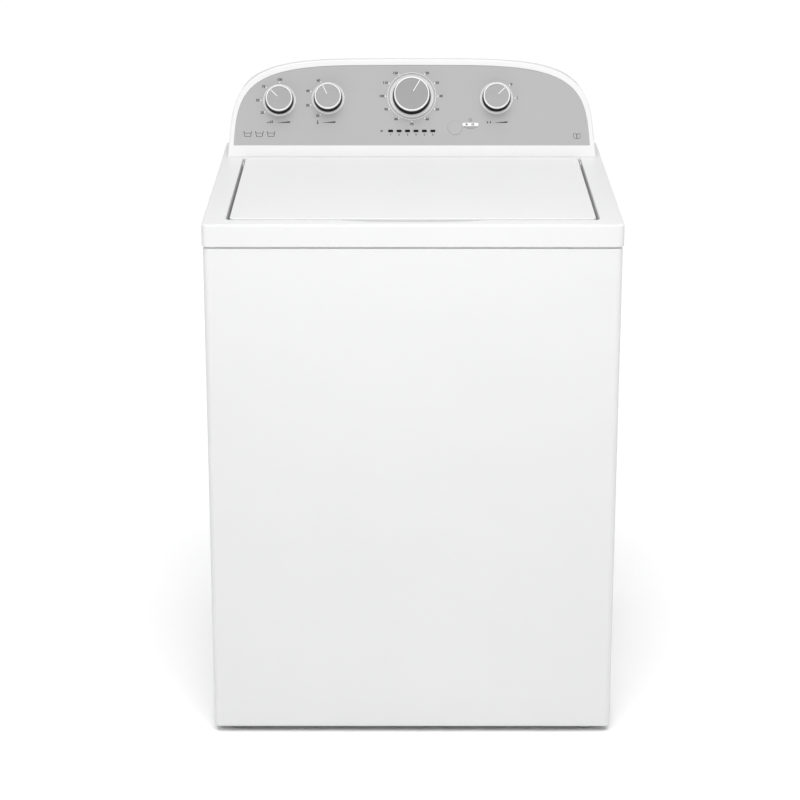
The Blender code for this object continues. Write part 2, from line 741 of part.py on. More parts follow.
def control_board(face):
    """Circuit board with one rotary switch behind each knob."""
    board = box("control_board", (-0.285, 0.040, BOARD_BACK), (0.200, 0.150, BOARD_FRONT),
                "board_green", parent=face)
    for name, (x, up) in KNOB_PLACES.items():
        join(board, bar(name + "_switch", 0.012, (x, up, BOARD_BACK + 0.0004), (x, up, SHAFT_END - GAP),
                        sides=16, parent=face))


def console_rear_cover():
    """Plate that closes the console's back, with the holes for the inlets and the mains inlet."""
    inset = CONSOLE_WALL + GAP * 2
    outline = arch_outline(CONSOLE_BACK_HALF - inset, CONSOLE_BACK_RISE - inset)
    outline = [(x, max(up, inset)) for x, up in outline]
    outlines = [outline]
    for side in (-1, 1):
        outlines.append(circle(VALVE_X + side * INLET_SPACING / 2, VALVE_Z - CONSOLE_BASE, INLET_RADIUS + 0.001))
    outlines.append(circle(CORD_X, CORD_Z - CONSOLE_BASE, 0.0105))
    plate("console_rear_cover", outlines, 0.0012, "galvanised",
          location=(0, CONSOLE_BACK - 0.002, CONSOLE_BASE), rotation=(math.radians(90), 0, 0))


def inlet_valve():
    """Hot and cold inlet valve whose threaded nozzles pass through the rear cover."""
    front = 0.266
    rear = CONSOLE_BACK - 0.004
    valve = box("inlet_valve", (VALVE_X - 0.040, front, VALVE_Z - 0.018), (VALVE_X + 0.040, rear, VALVE_Z + 0.018),
                "white_plastic")
    for side in (-1, 1):
        x = VALVE_X + side * INLET_SPACING / 2
        nozzle = bar("inlet_thread", INLET_RADIUS, (x, rear - 0.004, VALVE_Z), (x, DEPTH / 2, VALVE_Z))
        join(valve, nozzle)
        cut(valve, bar("inlet_bore", 0.0085, (x, rear, VALVE_Z), (x, DEPTH / 2 + 0.01, VALVE_Z)))
        join(valve, bar("solenoid", 0.012, (x, front + 0.015, VALVE_Z - 0.017), (x, front + 0.015, VALVE_Z - 0.042)))


def cord_inlet():
    """Bush in the rear cover where the mains lead would enter."""
    face_y = CONSOLE_BACK - 0.002 + 0.0006
    profile = [(0.0140, 0.0080), (0.0140, GAP), (0.0098, GAP), (0.0098, -0.0060), (0.0055, -0.0060),
               (0.0055, 0.0080)]
    turned("cord_inlet", profile, "dark_plastic", ring=True, sides=16, location=(CORD_X, face_y, CORD_Z),
           rotation=(math.radians(-90), 0, 0))


def console():
    """The console with its controls, built on a frame that lies in its face."""
    face = add_frame("console_face", location=(0, CONSOLE_FRONT, CONSOLE_BASE),
                     rotation=(math.radians(90) - CONSOLE_LEAN, 0, 0))
    console_shell()
    console_fascia(face)
    indicator_lenses(face)
    for name in KNOB_PLACES:
        knob(name, face)
    start_button(face)
    control_board(face)
    console_rear_cover()
    inlet_valve()
    cord_inlet()


# ---------------------------------------------------------------- tub, basket and drive
def outer_tub(axis):
    """Open plastic tub with the four ears that the springs carry."""
    wall = TUB_WALL
    low = TUB_FLOOR
    profile = [(TUB_RADIUS, TUB_TOP), (TUB_RADIUS - 0.010, low + 0.025), (TUB_RADIUS - 0.027, low),
               (0.050, low), (0.050, low + wall), (TUB_RADIUS - 0.028, low + wall),
               (TUB_RADIUS - 0.010 - wall, low + 0.026), (TUB_RADIUS - wall, TUB_TOP)]
    tub = turned("outer_tub", profile, "tub_plastic", ring=True, sides=WIDE_ROUND, parent=axis)
    reach = math.hypot(ROD_OFFSET, ROD_OFFSET)
    for corner in range(4):
        turn = (0, 0, math.radians(45 + 90 * corner))
        ear = box("ear", (TUB_RADIUS - 0.0125, -0.025, EAR_BOTTOM), (reach + 0.022, 0.025, EAR_TOP),
                  parent=axis, rotation=turn)
        hole = bar("ear_hole", 0.010, (reach, 0, EAR_BOTTOM - 0.01), (reach, 0, EAR_TOP + 0.01),
                   sides=16, parent=axis, rotation=turn)
        join(tub, ear)
        cut(tub, hole)


def tub_ring(axis):
    """Ring snapped on the tub's rim that keeps water in."""
    rim = TUB_TOP + GAP
    outer = TUB_RADIUS + 0.005
    profile = [(outer, rim + 0.004), (outer, rim - 0.012), (outer - 0.003, rim - 0.012), (outer - 0.003, rim),
               (0.232, rim), (0.232, rim + 0.004), (0.226, rim + 0.009), (0.229, rim + 0.010),
               (0.236, rim + 0.006)]
    turned("tub_ring", profile, "tub_plastic", ring=True, sides=WIDE_ROUND, parent=axis)


def wash_basket(axis):
    """Thin steel basket with a flat floor open at the hub."""
    wall = BASKET_WALL
    low = BASKET_FLOOR
    profile = [(BASKET_RADIUS, BASKET_TOP), (BASKET_RADIUS, low + 0.018), (BASKET_RADIUS - 0.015, low),
               (0.060, low), (0.060, low + wall), (BASKET_RADIUS - 0.016, low + wall),
               (BASKET_RADIUS - wall, low + 0.0185), (BASKET_RADIUS - wall, BASKET_TOP)]
    turned("wash_basket", profile, "stainless", ring=True, sides=WIDE_ROUND, parent=axis)


def balance_ring(axis):
    """Liquid-filled ring on the basket's rim."""
    low = BASKET_TOP + GAP
    profile = [(0.252, BALANCE_TOP), (0.257, BALANCE_TOP - 0.006), (0.257, low - 0.010), (0.2515, low - 0.010),
               (0.2515, low), (0.222, low), (0.216, low + 0.008), (0.216, BALANCE_TOP - 0.008),
               (0.222, BALANCE_TOP)]
    turned("balance_ring", profile, "tub_plastic", ring=True, sides=WIDE_ROUND, parent=axis)


def basket_hub(axis):
    """Hub clamped to the basket's floor, with the spin tube below it."""
    floor = BASKET_FLOOR + BASKET_WALL + GAP
    profile = [(0.050, floor + 0.018), (0.090, floor + 0.008), (0.090, floor), (0.055, floor),
               (0.055, TUB_FLOOR + 0.006), (0.022, TUB_FLOOR + 0.006), (0.022, 0.300), (0.011, 0.300),
               (0.011, floor + 0.018)]
    turned("basket_hub", profile, "aluminium", ring=True, parent=axis)


def gearcase(axis):
    """Gearcase with the bracket arms that bolt it under the tub."""
    boss_top = TUB_FLOOR - 0.0015
    profile = [(0.046, boss_top), (0.046, 0.300), (0.085, 0.300), (0.085, 0.240), (0.060, 0.215),
               (SHAFT_BORE, 0.215), (SHAFT_BORE, 0.2955), (0.0235, 0.2955), (0.0235, boss_top)]
    case = turned("gearcase", profile, "aluminium", ring=True, parent=axis)
    for turn in (0, 90):
        for side in (-1, 1):
            near, far = sorted((side * 0.038, side * 0.225))
            join(case, box("arm", (near, -0.020, 0.3272), (far, 0.020, boss_top - 0.0006), parent=axis,
                           rotation=(0, 0, math.radians(turn))))


def pulley(name, groove, hub_top, hub_radius, axis, location):
    """Grooved pulley with the stub of its shaft."""
    rim = groove + 0.0035
    bottom = PULLEY_BOTTOM
    top = PULLEY_TOP
    profile = [(0, hub_top), (hub_radius, hub_top), (hub_radius, top), (rim, top), (rim, top - 0.003),
               (groove, top - 0.006), (groove, bottom + 0.006), (rim, bottom + 0.003), (rim, bottom), (0, bottom)]
    turned(name, profile, "steel", parent=axis, location=location)


def belt_path(radius_a, radius_b, distance):
    """Closed path round two circles, the first at the origin and the second at -X."""
    lean = math.degrees(math.acos((radius_a - radius_b) / distance))
    path = arc(0, 0, radius_a, -180 + lean, 180 - lean, 28)
    path += arc(-distance, 0, radius_b, 180 - lean, 180 + lean, 14)
    return path


def drive_belt(axis):
    """Belt round both pulleys."""
    half = 0.0045
    middle = (PULLEY_TOP + PULLEY_BOTTOM) / 2
    grow = BELT_CLEARANCE + BELT_THICKNESS
    path = belt_path(PULLEY_GROOVE + grow, MOTOR_GROOVE + grow, -MOTOR_X)
    belt = folded("drive_belt", path, middle - half, middle + half, "rubber", closed=True, parent=axis)
    solidify(belt, BELT_THICKNESS)


def motor(axis):
    """Drive motor with its mounting pad under the bracket arm."""
    profile = [(0.030, 0.310), (0.060, 0.305), (0.066, 0.298), (0.066, 0.235), (0.060, 0.228), (0.030, 0.222),
               (0.030, 0.212), (0.0065, 0.212), (0.0065, 0.310)]
    body = turned("motor", profile, "steel", ring=True, parent=axis, location=(MOTOR_X, 0, 0))
    join(body, box("motor_pad", (MOTOR_X - 0.030, -0.035, 0.300), (MOTOR_X + 0.040, 0.035, 0.3269), parent=axis))


def pump(axis):
    """Drain pump with its inlet under the tub's floor and its outlet to the rear."""
    profile = [(0, 0.250), (0.014, 0.250), (0.014, TUB_FLOOR - GAP), (0.018, TUB_FLOOR - GAP), (0.018, 0.300),
               (0.046, 0.300), (0.048, 0.292), (0.048, 0.246), (0.034, 0.240), (0.034, 0.205), (0, 0.205)]
    body = turned("pump", profile, "grey_plastic", parent=axis, location=(PUMP_X, PUMP_Y, 0))
    join(body, bar("pump_outlet", 0.012, (PUMP_X, PUMP_Y + 0.040, 0.262), (PUMP_X, PUMP_Y + 0.075, 0.262),
                   parent=axis, sides=16))


def drain_hose():
    """Flexible hose from the pump's outlet to the drain outlet."""
    start = Vector((PUMP_X, TUB_Y + PUMP_Y + 0.075 + GAP, 0.262))
    end = Vector((DRAIN_X, REAR_PANEL_Y - 0.022 - GAP, DRAIN_Z))
    straight = 0.020
    steps = 10
    points = [start]
    for i in range(steps + 1):
        along = i / steps
        ease = along * along * (3 - 2 * along)
        y = start.y + straight + (end.y - start.y - 2 * straight) * along
        points.append((start.x, y, start.z + (end.z - start.z) * ease))
    points.append(end)
    wire("drain_hose", points, 0.0135, "grey_plastic", resolution=2)


def drain_outlet():
    """Barbed fitting through the rear panel."""
    wall = REAR_PANEL_Y
    profile = [(0.0150, 0.0280), (0.0160, 0.0200), (0.0160, 0.0040), (0.0260, 0.0040), (0.0260, GAP),
               (0.0190, GAP), (0.0190, -0.0100), (0.0150, -0.0100), (0.0150, -0.0220), (0.0110, -0.0220),
               (0.0110, 0.0280)]
    turned("drain_outlet", profile, "dark_plastic", ring=True, sides=16, location=(DRAIN_X, wall, DRAIN_Z),
           rotation=(math.radians(-90), 0, 0))


def inlet_nozzle():
    """Spout under the rear ledge that fills the basket."""
    roof = LEDGE_TOP - PANEL_SHEET - GAP
    back = NECK_REAR + PANEL_SHEET + GAP * 2
    nozzle = box("inlet_nozzle", (0.080, back, 0.8665), (0.140, back + 0.024, roof), "grey_plastic")
    join(nozzle, box("spout", (0.088, back - 0.030, 0.8665), (0.132, back + 0.010, 0.8718)))


def drive_shaft(axis):
    """Shaft from the gearcase up into the agitator."""
    bar("drive_shaft", 0.009, (0, 0, 0.236), (0, 0, 0.4515), "steel", sides=16, parent=axis)


def agitator(axis):
    """Skirt, web and barrel in one moulding, with four fins."""
    profile = [(0.040, 0.700), (0.040, 0.600), (0.055, 0.597), (0.057, 0.470), (0.086, 0.430), (0.165, 0.392),
               (0.168, 0.380), (0.164, 0.380), (0.160, 0.389), (0.083, 0.424), (0.060, 0.436),
               (0.0105, 0.436), (0.0105, 0.452), (0.037, 0.452), (0.037, 0.700)]
    body = turned("agitator", profile, "white_plastic", ring=True, parent=axis)
    thickness = 0.008
    fin_outline = [(0.050, 0.440), (0.150, 0.396), (0.160, 0.405)]
    fin_outline += arc(0.112, 0.450, 0.048, 0, 60, 4)
    fin_outline += [(0.080, 0.560), (0.050, 0.585)]
    for i in range(4):
        fin = plate("fin", [fin_outline], thickness, parent=axis,
                    rotation=(math.radians(90), 0, math.radians(45 + 90 * i)))
        join(body, as_mesh(fin))


def auger(axis):
    """Sleeve with two helical vanes that turns on the agitator's barrel."""
    inner = 0.0425
    profile = [(0.053, AUGER_TOP), (0.053, AUGER_BOTTOM), (inner, AUGER_BOTTOM), (inner, 0.703),
               (0.034, 0.706), (0.034, AUGER_TOP)]
    sleeve = turned("auger", profile, "white_plastic", ring=True, parent=axis)
    steps = 16
    low = AUGER_BOTTOM + 0.008
    high = AUGER_TOP - 0.012
    for start in (0, 180):
        sections = []
        for i in range(steps + 1):
            angle = math.radians(start + 330 * i / steps)
            height = low + (high - low) * i / steps
            section = []
            for radius, lift in ((0.049, 0.004), (0.074, 0.0015), (0.074, -0.0015), (0.049, -0.004)):
                section.append((radius * math.cos(angle), radius * math.sin(angle), height + lift))
            sections.append(section)
        join(sleeve, loft("vane", sections, cap_first=True, cap_last=True, parent=axis))


def agitator_cap(axis):
    """Cap plugged into the auger's top."""
    profile = [(0, CAP_TOP), (0.030, CAP_TOP - 0.002), (0.047, CAP_TOP - 0.010), (0.053, CAP_TOP - 0.022),
               (0.053, AUGER_TOP + GAP), (0.033, AUGER_TOP + GAP), (0.033, AUGER_TOP - 0.020), (0, AUGER_TOP - 0.020)]
    turned("agitator_cap", profile, "cap_blue", parent=axis)


def tub():
    """Everything that hangs on the springs, built about the tub's axis."""
    axis = add_frame("tub_axis", location=(0, TUB_Y, 0))
    outer_tub(axis)
    tub_ring(axis)
    gearcase(axis)
    motor(axis)
    pump(axis)
    drive_belt(axis)
    pulley("drive_pulley", PULLEY_GROOVE, 0.2355, 0.009, axis, (0, 0, 0))
    pulley("motor_pulley", MOTOR_GROOVE, 0.230, 0.005, axis, (MOTOR_X, 0, 0))
    wash_basket(axis)
    balance_ring(axis)
    basket_hub(axis)
    drive_shaft(axis)
    agitator(axis)
    auger(axis)
    agitator_cap(axis)


# ---------------------------------------------------------------- build
clear_scene()
PARTS = new_collection("top_load_washer")
CUTTERS = new_collection("cutters")
cabinet()
top_panel()
hinge_bushing("hinge_bushing_left", -1)
hinge_bushing("hinge_bushing_right", 1)
lid()
lid_lock()
inlet_nozzle()
console()
tub()
drain_hose()
drain_outlet()
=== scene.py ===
"""Top load washing machine: its looks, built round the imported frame.

Metres, +Z up. The front faces -Y. One section for each sub-assembly.
"""
import json
import math

import bmesh
import bpy
from mathutils import Matrix, Vector


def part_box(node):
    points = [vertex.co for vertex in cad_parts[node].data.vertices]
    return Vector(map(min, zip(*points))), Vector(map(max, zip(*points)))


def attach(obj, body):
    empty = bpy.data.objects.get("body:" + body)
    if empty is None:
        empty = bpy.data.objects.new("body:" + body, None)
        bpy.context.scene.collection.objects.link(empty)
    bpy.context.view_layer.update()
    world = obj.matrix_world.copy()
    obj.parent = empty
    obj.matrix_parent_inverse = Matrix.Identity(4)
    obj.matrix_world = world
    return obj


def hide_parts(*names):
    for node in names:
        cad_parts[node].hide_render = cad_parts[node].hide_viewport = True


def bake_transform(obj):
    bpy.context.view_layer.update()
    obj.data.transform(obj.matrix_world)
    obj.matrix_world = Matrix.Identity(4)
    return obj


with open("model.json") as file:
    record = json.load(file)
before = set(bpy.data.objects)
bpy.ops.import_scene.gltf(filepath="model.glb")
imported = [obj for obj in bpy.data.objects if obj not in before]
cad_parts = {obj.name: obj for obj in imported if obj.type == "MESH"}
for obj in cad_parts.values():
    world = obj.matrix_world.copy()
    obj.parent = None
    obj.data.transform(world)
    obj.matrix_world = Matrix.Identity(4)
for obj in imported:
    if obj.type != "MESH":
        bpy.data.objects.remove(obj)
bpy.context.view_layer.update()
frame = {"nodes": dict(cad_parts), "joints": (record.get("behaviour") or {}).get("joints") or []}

# ---------------------------------------------------------------- places read from the frame
CABINET_LOW, CABINET_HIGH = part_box("cabinet_wrap")
PANEL_LOW, PANEL_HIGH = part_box("top_panel")
LID_LOW, LID_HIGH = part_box("lid")
LINER_LOW, LINER_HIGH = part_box("lid_liner")
SHELL_LOW, SHELL_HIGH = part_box("console_shell")
COVER_LOW, COVER_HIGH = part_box("console_rear_cover")
REAR_LOW, REAR_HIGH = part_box("rear_panel")
TUB_LOW, TUB_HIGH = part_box("outer_tub")
RING_LOW, RING_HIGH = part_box("tub_ring")
BASKET_LOW, BASKET_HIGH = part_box("wash_basket")
BALANCE_LOW, BALANCE_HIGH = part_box("balance_ring")
AGITATOR_LOW, AGITATOR_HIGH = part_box("agitator")
AUGER_LOW, AUGER_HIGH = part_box("auger")
CAP_LOW, CAP_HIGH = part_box("agitator_cap")
JOINTS = {joint["name"]: joint for joint in frame["joints"]}
TUB_AXIS = Matrix.Translation(((BASKET_LOW.x + BASKET_HIGH.x) / 2, (BASKET_LOW.y + BASKET_HIGH.y) / 2, 0))
FACE_NORMAL = Vector(JOINTS["cycle_turn"]["axis"]).normalized()
LEAN = math.asin(FACE_NORMAL.z)
FACE = Matrix.Translation((0, SHELL_LOW.y, SHELL_LOW.z)) @ Matrix.Rotation(math.pi / 2 - LEAN, 4, "X")

# ---------------------------------------------------------------- dimensions of the visible shapes
SHEET = 0.0012              # painted steel
DECK = PANEL_HIGH.z         # the work surface
SEAM = 0.0015               # between the cabinet and the top panel
FIT = 0.0003                # between pieces that touch
LEDGE = DECK - 0.025        # floor of the lid's recess
NECK_LOW = PANEL_LOW.z
RECESS = (0.3105, -0.309, 0.1735)       # half width, front, rear
RECESS_RADII = (0.0125, 0.0095)         # at the front corners, at the rear corners
NECK = (0.245, -0.275, 0.140)
NECK_RADIUS = 0.130
SCOOP_HALF = 0.135
SCOOP_REACH = 0.0105
ARCH_EXPONENT = 4.3
ARCH_TAPER = 0.06
CONSOLE_HALF = SHELL_HIGH.x
CONSOLE_RISE = (SHELL_HIGH.z - SHELL_LOW.z) / math.cos(LEAN)
CONSOLE_BACK_HALF = 0.337
CONSOLE_BACK_RISE = 0.160
FASCIA = (0.330, 0.1755, 0.022)         # half width, rise, base
FASCIA_TOP = -0.0008                    # its surface, along the face's normal
FASCIA_SHEET = 0.003
LENS_PITCH = 0.0156
LENS_COUNT = 6
LENS_UP = 0.0496
LENS_SIZE = (0.0093, 0.0044)
INK = 0.00006                           # height of a printed mark
FINE = 64                               # sides of a small turned piece
WIDE = 128                              # sides of the tub and the basket


# ---------------------------------------------------------------- materials
def noise(nodes, link, vector, scale, detail=3.0):
    """Noise texture read at a vector."""
    texture = nodes.new("ShaderNodeTexNoise")
    texture.inputs["Scale"].default_value = scale
    texture.inputs["Detail"].default_value = detail
    link(vector, texture.inputs["Vector"])
    return texture.outputs["Fac"]


def cells(nodes, link, vector, scale):
    """Random shade for each crystal of a crystalline coating."""
    texture = nodes.new("ShaderNodeTexVoronoi")
    texture.inputs["Scale"].default_value = scale
    link(vector, texture.inputs["Vector"])
    return texture.outputs["Distance"]


def between(nodes, link, factor, low, high):
    """Map a factor of 0.3 to 0.7 on a range of values."""
    mapped = nodes.new("ShaderNodeMapRange")
    mapped.inputs["From Min"].default_value = 0.3
    mapped.inputs["From Max"].default_value = 0.7
    mapped.inputs["To Min"].default_value = low
    mapped.inputs["To Max"].default_value = high
    link(factor, mapped.inputs["Value"])
    return mapped.outputs["Result"]


def finish(name, colour, roughness, metallic=0.0, grain=600.0, stretch=(1, 1, 1), variation=0.02,
           spread=0.04, depth=0.00002, coat=0.0, crystals=0.0, specular=0.5):
    """Principled finish whose colour, gloss and surface vary over the piece."""
    made = bpy.data.materials.new(name)
    made.use_nodes = True
    nodes = made.node_tree.nodes
    link = made.node_tree.links.new
    shader = nodes["Principled BSDF"]
    shader.inputs["Metallic"].default_value = metallic
    shader.inputs["Coat Weight"].default_value = coat
    shader.inputs["Coat Roughness"].default_value = 0.12
    shader.inputs["Specular IOR Level"].default_value = specular
    place = nodes.new("ShaderNodeTexCoord").outputs["Object"]
    stretched = nodes.new("ShaderNodeMapping")
    stretched.inputs["Scale"].default_value = stretch
    link(place, stretched.inputs["Vector"])
    fine = noise(nodes, link, stretched.outputs["Vector"], grain)
    broad = noise(nodes, link, place, 7.0, 4.0)
    shade = nodes.new("ShaderNodeMix")
    shade.data_type = "RGBA"
    shade.inputs[6].default_value = (*[min(1, part * (1 - variation)) for part in colour], 1)
    shade.inputs[7].default_value = (*[min(1, part * (1 + variation)) for part in colour], 1)
    pattern = cells(nodes, link, place, crystals) if crystals else broad
    if stretch != (1, 1, 1):
        pattern = fine
    link(between(nodes, link, pattern, 0, 1), shade.inputs[0])
    link(shade.outputs[2], shader.inputs["Base Color"])
    gloss = pattern if crystals else fine
    mixed = nodes.new("ShaderNodeMath")
    mixed.operation = "MULTIPLY_ADD"
    mixed.inputs[1].default_value = 0.5
    link(gloss, mixed.inputs[0])
    halved = nodes.new("ShaderNodeMath")
    halved.operation = "MULTIPLY"
    halved.inputs[1].default_value = 0.5
    link(broad, halved.inputs[0])
    link(halved.outputs[0], mixed.inputs[2])
    link(between(nodes, link, mixed.outputs[0], roughness - spread, roughness + spread),
         shader.inputs["Roughness"])
    bump = nodes.new("ShaderNodeBump")
    bump.inputs["Strength"].default_value = 0.5
    bump.inputs["Distance"].default_value = depth
    link(fine, bump.inputs["Height"])
    link(bump.outputs["Normal"], shader.inputs["Normal"])
    made.diffuse_color = (*colour, 1)
    return made


ENAMEL = finish("white_enamel", (0.720, 0.722, 0.722), 0.44, grain=700, variation=0.006, spread=0.03, specular=0.30)
WHITE = finish("white_plastic", (0.762, 0.762, 0.760), 0.42, grain=1500, variation=0.006, depth=0.00001)
LINER = finish("liner_plastic", (0.72, 0.725, 0.72), 0.48, grain=1100, variation=0.010, depth=0.00004)
FASCIA_GREY = finish("grey_fascia", (0.406, 0.406, 0.406), 0.46, grain=3000, variation=0.012, depth=0.000008)
RIM = finish("knob_rim", (0.92, 0.92, 0.915), 0.30, grain=900, variation=0.010, coat=0.3)
BRUSHED = finish("brushed_knob", (0.345, 0.345, 0.345), 0.42, 0.30, grain=120, stretch=(0.25, 14, 14), variation=0.05,
                 spread=0.08, depth=0.00001)
# Painted shade: the small knobs' brushed metal, made darker for the cycle knob, whose face reflects more of the light
# above.
BRUSHED_SHADED = finish("brushed_knob_shaded", (0.300, 0.300, 0.300), 0.42, 0.30, grain=120, stretch=(0.25, 14, 14),
                      variation=0.05, spread=0.08, depth=0.00001)
BEZEL = finish("bezel_grey", (0.72, 0.72, 0.72), 0.36, grain=900, variation=0.015)
KNOB_BLACK = finish("knob_black", (0.005, 0.005, 0.005), 0.50, grain=1500, variation=0.15, specular=0.12)
BLACK = finish("dark_plastic", (0.012, 0.012, 0.013), 0.34, grain=1500, variation=0.15)
WHITE_INK = finish("white_ink", (0.90, 0.90, 0.90), 0.50, grain=4000, variation=0.02, depth=0.000004)
DARK_INK = finish("dark_ink", (0.045, 0.045, 0.048), 0.55, grain=4000, variation=0.10, depth=0.000004)
LENS = finish("lens_black", (0.004, 0.004, 0.004), 0.16, grain=2500, variation=0.10, specular=0.3)
GREY = finish("grey_plastic", (0.40, 0.42, 0.44), 0.50, grain=1300, variation=0.03, depth=0.00004)
TUB = finish("tub_plastic", (0.70, 0.73, 0.74), 0.46, grain=1000, variation=0.02, depth=0.00004)
ZINC = finish("galvanised", (0.60, 0.62, 0.63), 0.42, 0.85, crystals=110, variation=0.10, spread=0.12)
STAINLESS = finish("stainless", (0.66, 0.66, 0.67), 0.26, 1.0, grain=40, stretch=(0.3, 0.3, 24), variation=0.04,
                   spread=0.07, depth=0.00001)
STEEL = finish("steel", (0.46, 0.47, 0.48), 0.36, 1.0, grain=500, variation=0.08, spread=0.09)
CASTING = finish("cast_aluminium", (0.60, 0.61, 0.62), 0.52, 0.95, grain=900, variation=0.07, spread=0.08,
                 depth=0.00018)
FOOT_GREY = finish("foot_rubber", (0.36, 0.36, 0.355), 0.70, grain=1200, variation=0.05, depth=0.00006)
RUBBER = finish("rubber", (0.022, 0.022, 0.022), 0.78, grain=1200, variation=0.20, spread=0.08, depth=0.00008)
BOARD = finish("circuit_board", (0.025, 0.16, 0.08), 0.42, grain=220, stretch=(1, 6, 6), variation=0.25)
CAP_BLUE = finish("cap_plastic", (0.20, 0.32, 0.48), 0.42, grain=1200, variation=0.03)
THREAD_BLUE = finish("cold_mark", (0.06, 0.16, 0.42), 0.45, grain=1200, variation=0.04)
THREAD_RED = finish("hot_mark", (0.50, 0.05, 0.04), 0.45, grain=1200, variation=0.04)


# ---------------------------------------------------------------- shapes
def arc(centre_x, centre_y, radius, start, end, steps):
    """Points on an arc, with both angles in degrees."""
    points = []
    for i in range(steps + 1):
        angle = math.radians(start + (end - start) * i / steps)
        points.append((centre_x + radius * math.cos(angle), centre_y + radius * math.sin(angle)))
    return points


def circle(centre_x, centre_y, radius, sides=48):
    """A circle as a closed outline."""
    return arc(centre_x, centre_y, radius, 0, 360 - 360 / sides, sides - 1)


def ease_corner(before, corner, after, radius, steps):
    """Points that round one corner, never past the middle of either side."""
    back, ahead = before - corner, after - corner
    first = corner + back.normalized() * min(radius, back.length * 0.49)
    last = corner + ahead.normalized() * min(radius, ahead.length * 0.49)
    points = []
    for i in range(steps + 1):
        t = i / steps
        points.append(first * (1 - t) ** 2 + corner * 2 * t * (1 - t) + last * t * t)
    return points


def eased_loops(corners, steps=6):
    """Loops through corner loops, each (loop, radius or radii), whose edges are rounded by it."""
    loops = []
    for i, (loop, radius) in enumerate(corners):
        if not radius or i in (0, len(corners) - 1):
            loops.append([Vector(point) for point in loop])
            continue
        radii = radius if isinstance(radius, list) else [radius] * len(loop)
        eased = []
        for before, corner, after, size in zip(corners[i - 1][0], loop, corners[i + 1][0], radii):
            eased.append(ease_corner(Vector(before), Vector(corner), Vector(after), size, steps))
        loops += [list(points) for points in zip(*eased)]
    return loops


def eased(corners, closed=True, steps=4):
    """A flat outline through corners, each (x, y, radius), rounded by their radius."""
    points = []
    count = len(corners)
    for i, (x, y, radius) in enumerate(corners):
        corner = Vector((x, y))
        if not radius or (not closed and i in (0, count - 1)):
            points.append(corner)
            continue
        before = Vector(corners[i - 1][:2])
        after = Vector(corners[(i + 1) % count][:2])
        points += ease_corner(before, corner, after, radius, steps)
    return [(point.x, point.y) for point in points]


def skin(bm, loops, closed=True, cap_first=False, cap_last=False, ring=False):
    """Join loops of equal length by faces. A ring joins its last loop to its first."""
    rows = [[bm.verts.new(point) for point in loop] for loop in loops]
    count = len(rows[0])
    pairs = list(zip(rows, rows[1:]))
    if ring:
        pairs.append((rows[-1], rows[0]))
    for lower, upper in pairs:
        for i in range(count if closed else count - 1):
            j = (i + 1) % count
            bm.faces.new((lower[i], lower[j], upper[j], upper[i]))
    if cap_first:
        bm.faces.new(rows[0][::-1])
    if cap_last:
        bm.faces.new(rows[-1])


def close_ends(bm, loops):
    """Close both ends of a ring of open loops."""
    for index in (0, -1):
        corners = [Vector(loop[index]) for loop in loops]
        bm.faces.new([bm.verts.new(corner) for corner in corners])
    bmesh.ops.remove_doubles(bm, verts=bm.verts, dist=2e-6)
    bmesh.ops.recalc_face_normals(bm, faces=bm.faces)


def turn(bm, profile, place=Matrix(), sides=FINE, ring=True):
    """Turn a profile of (radius, height) about Z. An open profile starts and ends on the axis."""
    loops = []
    for radius, height in profile:
        loop = [place @ Vector((x, y, height)) for x, y in circle(0, 0, max(radius, 1e-7), sides)]
        loops.append(loop)
    part = bmesh.new()
    skin(part, loops, ring=ring)
    bmesh.ops.remove_doubles(part, verts=part.verts, dist=2e-6)
    bmesh.ops.recalc_face_normals(part, faces=part.faces)
    pour(part, bm)


def pour(part, bm):
    """Add a finished bmesh to another."""
    mesh = bpy.data.meshes.new("part")
    part.to_mesh(mesh)
    part.free()
    bm.from_mesh(mesh)
    bpy.data.meshes.remove(mesh)


def block(bm, low, high, place=Matrix(), round_by=0.0, segments=3):
    """A box between two corners, with its edges rounded."""
    part = bmesh.new()
    size = [b - a for a, b in zip(low, high)]
    middle = [(a + b) / 2 for a, b in zip(low, high)]
    bmesh.ops.create_cube(part, size=1.0, matrix=Matrix.Translation(middle) @ Matrix.Diagonal((*size, 1)))
    if round_by:
        bmesh.ops.bevel(part, geom=part.edges[:], offset=round_by, segments=segments, profile=0.5,
                        affect="EDGES")
    part.transform(place)
    pour(part, bm)


def curve_to(bm, curve, place):
    """Add a curve's surface to a bmesh and drop the curve."""
    carrier = bpy.data.objects.new("carrier", curve)
    bpy.context.scene.collection.objects.link(carrier)
    bpy.context.view_layer.update()
    mesh = bpy.data.meshes.new_from_object(carrier.evaluated_get(bpy.context.evaluated_depsgraph_get()))
    bpy.data.objects.remove(carrier)
    part = bmesh.new()
    part.from_mesh(mesh)
    bpy.data.meshes.remove(mesh)
    bmesh.ops.remove_doubles(part, verts=part.verts, dist=2e-6)
    part.transform(place)
    pour(part, bm)


def flat(bm, outlines, low, high, place=Matrix()):
    """A plate between two heights: the first outline is its edge, the others are holes."""
    curve = bpy.data.curves.new("outline", "CURVE")
    curve.dimensions = "2D"
    curve.fill_mode = "BOTH"
    curve.extrude = (high - low) / 2
    for outline in outlines:
        spline = curve.splines.new("POLY")
        spline.points.add(len(outline) - 1)
        for point, (x, y) in zip(spline.points, outline):
            point.co = (x, y, 0, 1)
        spline.use_cyclic_u = True
    curve_to(bm, curve, place @ Matrix.Translation((0, 0, (low + high) / 2)))


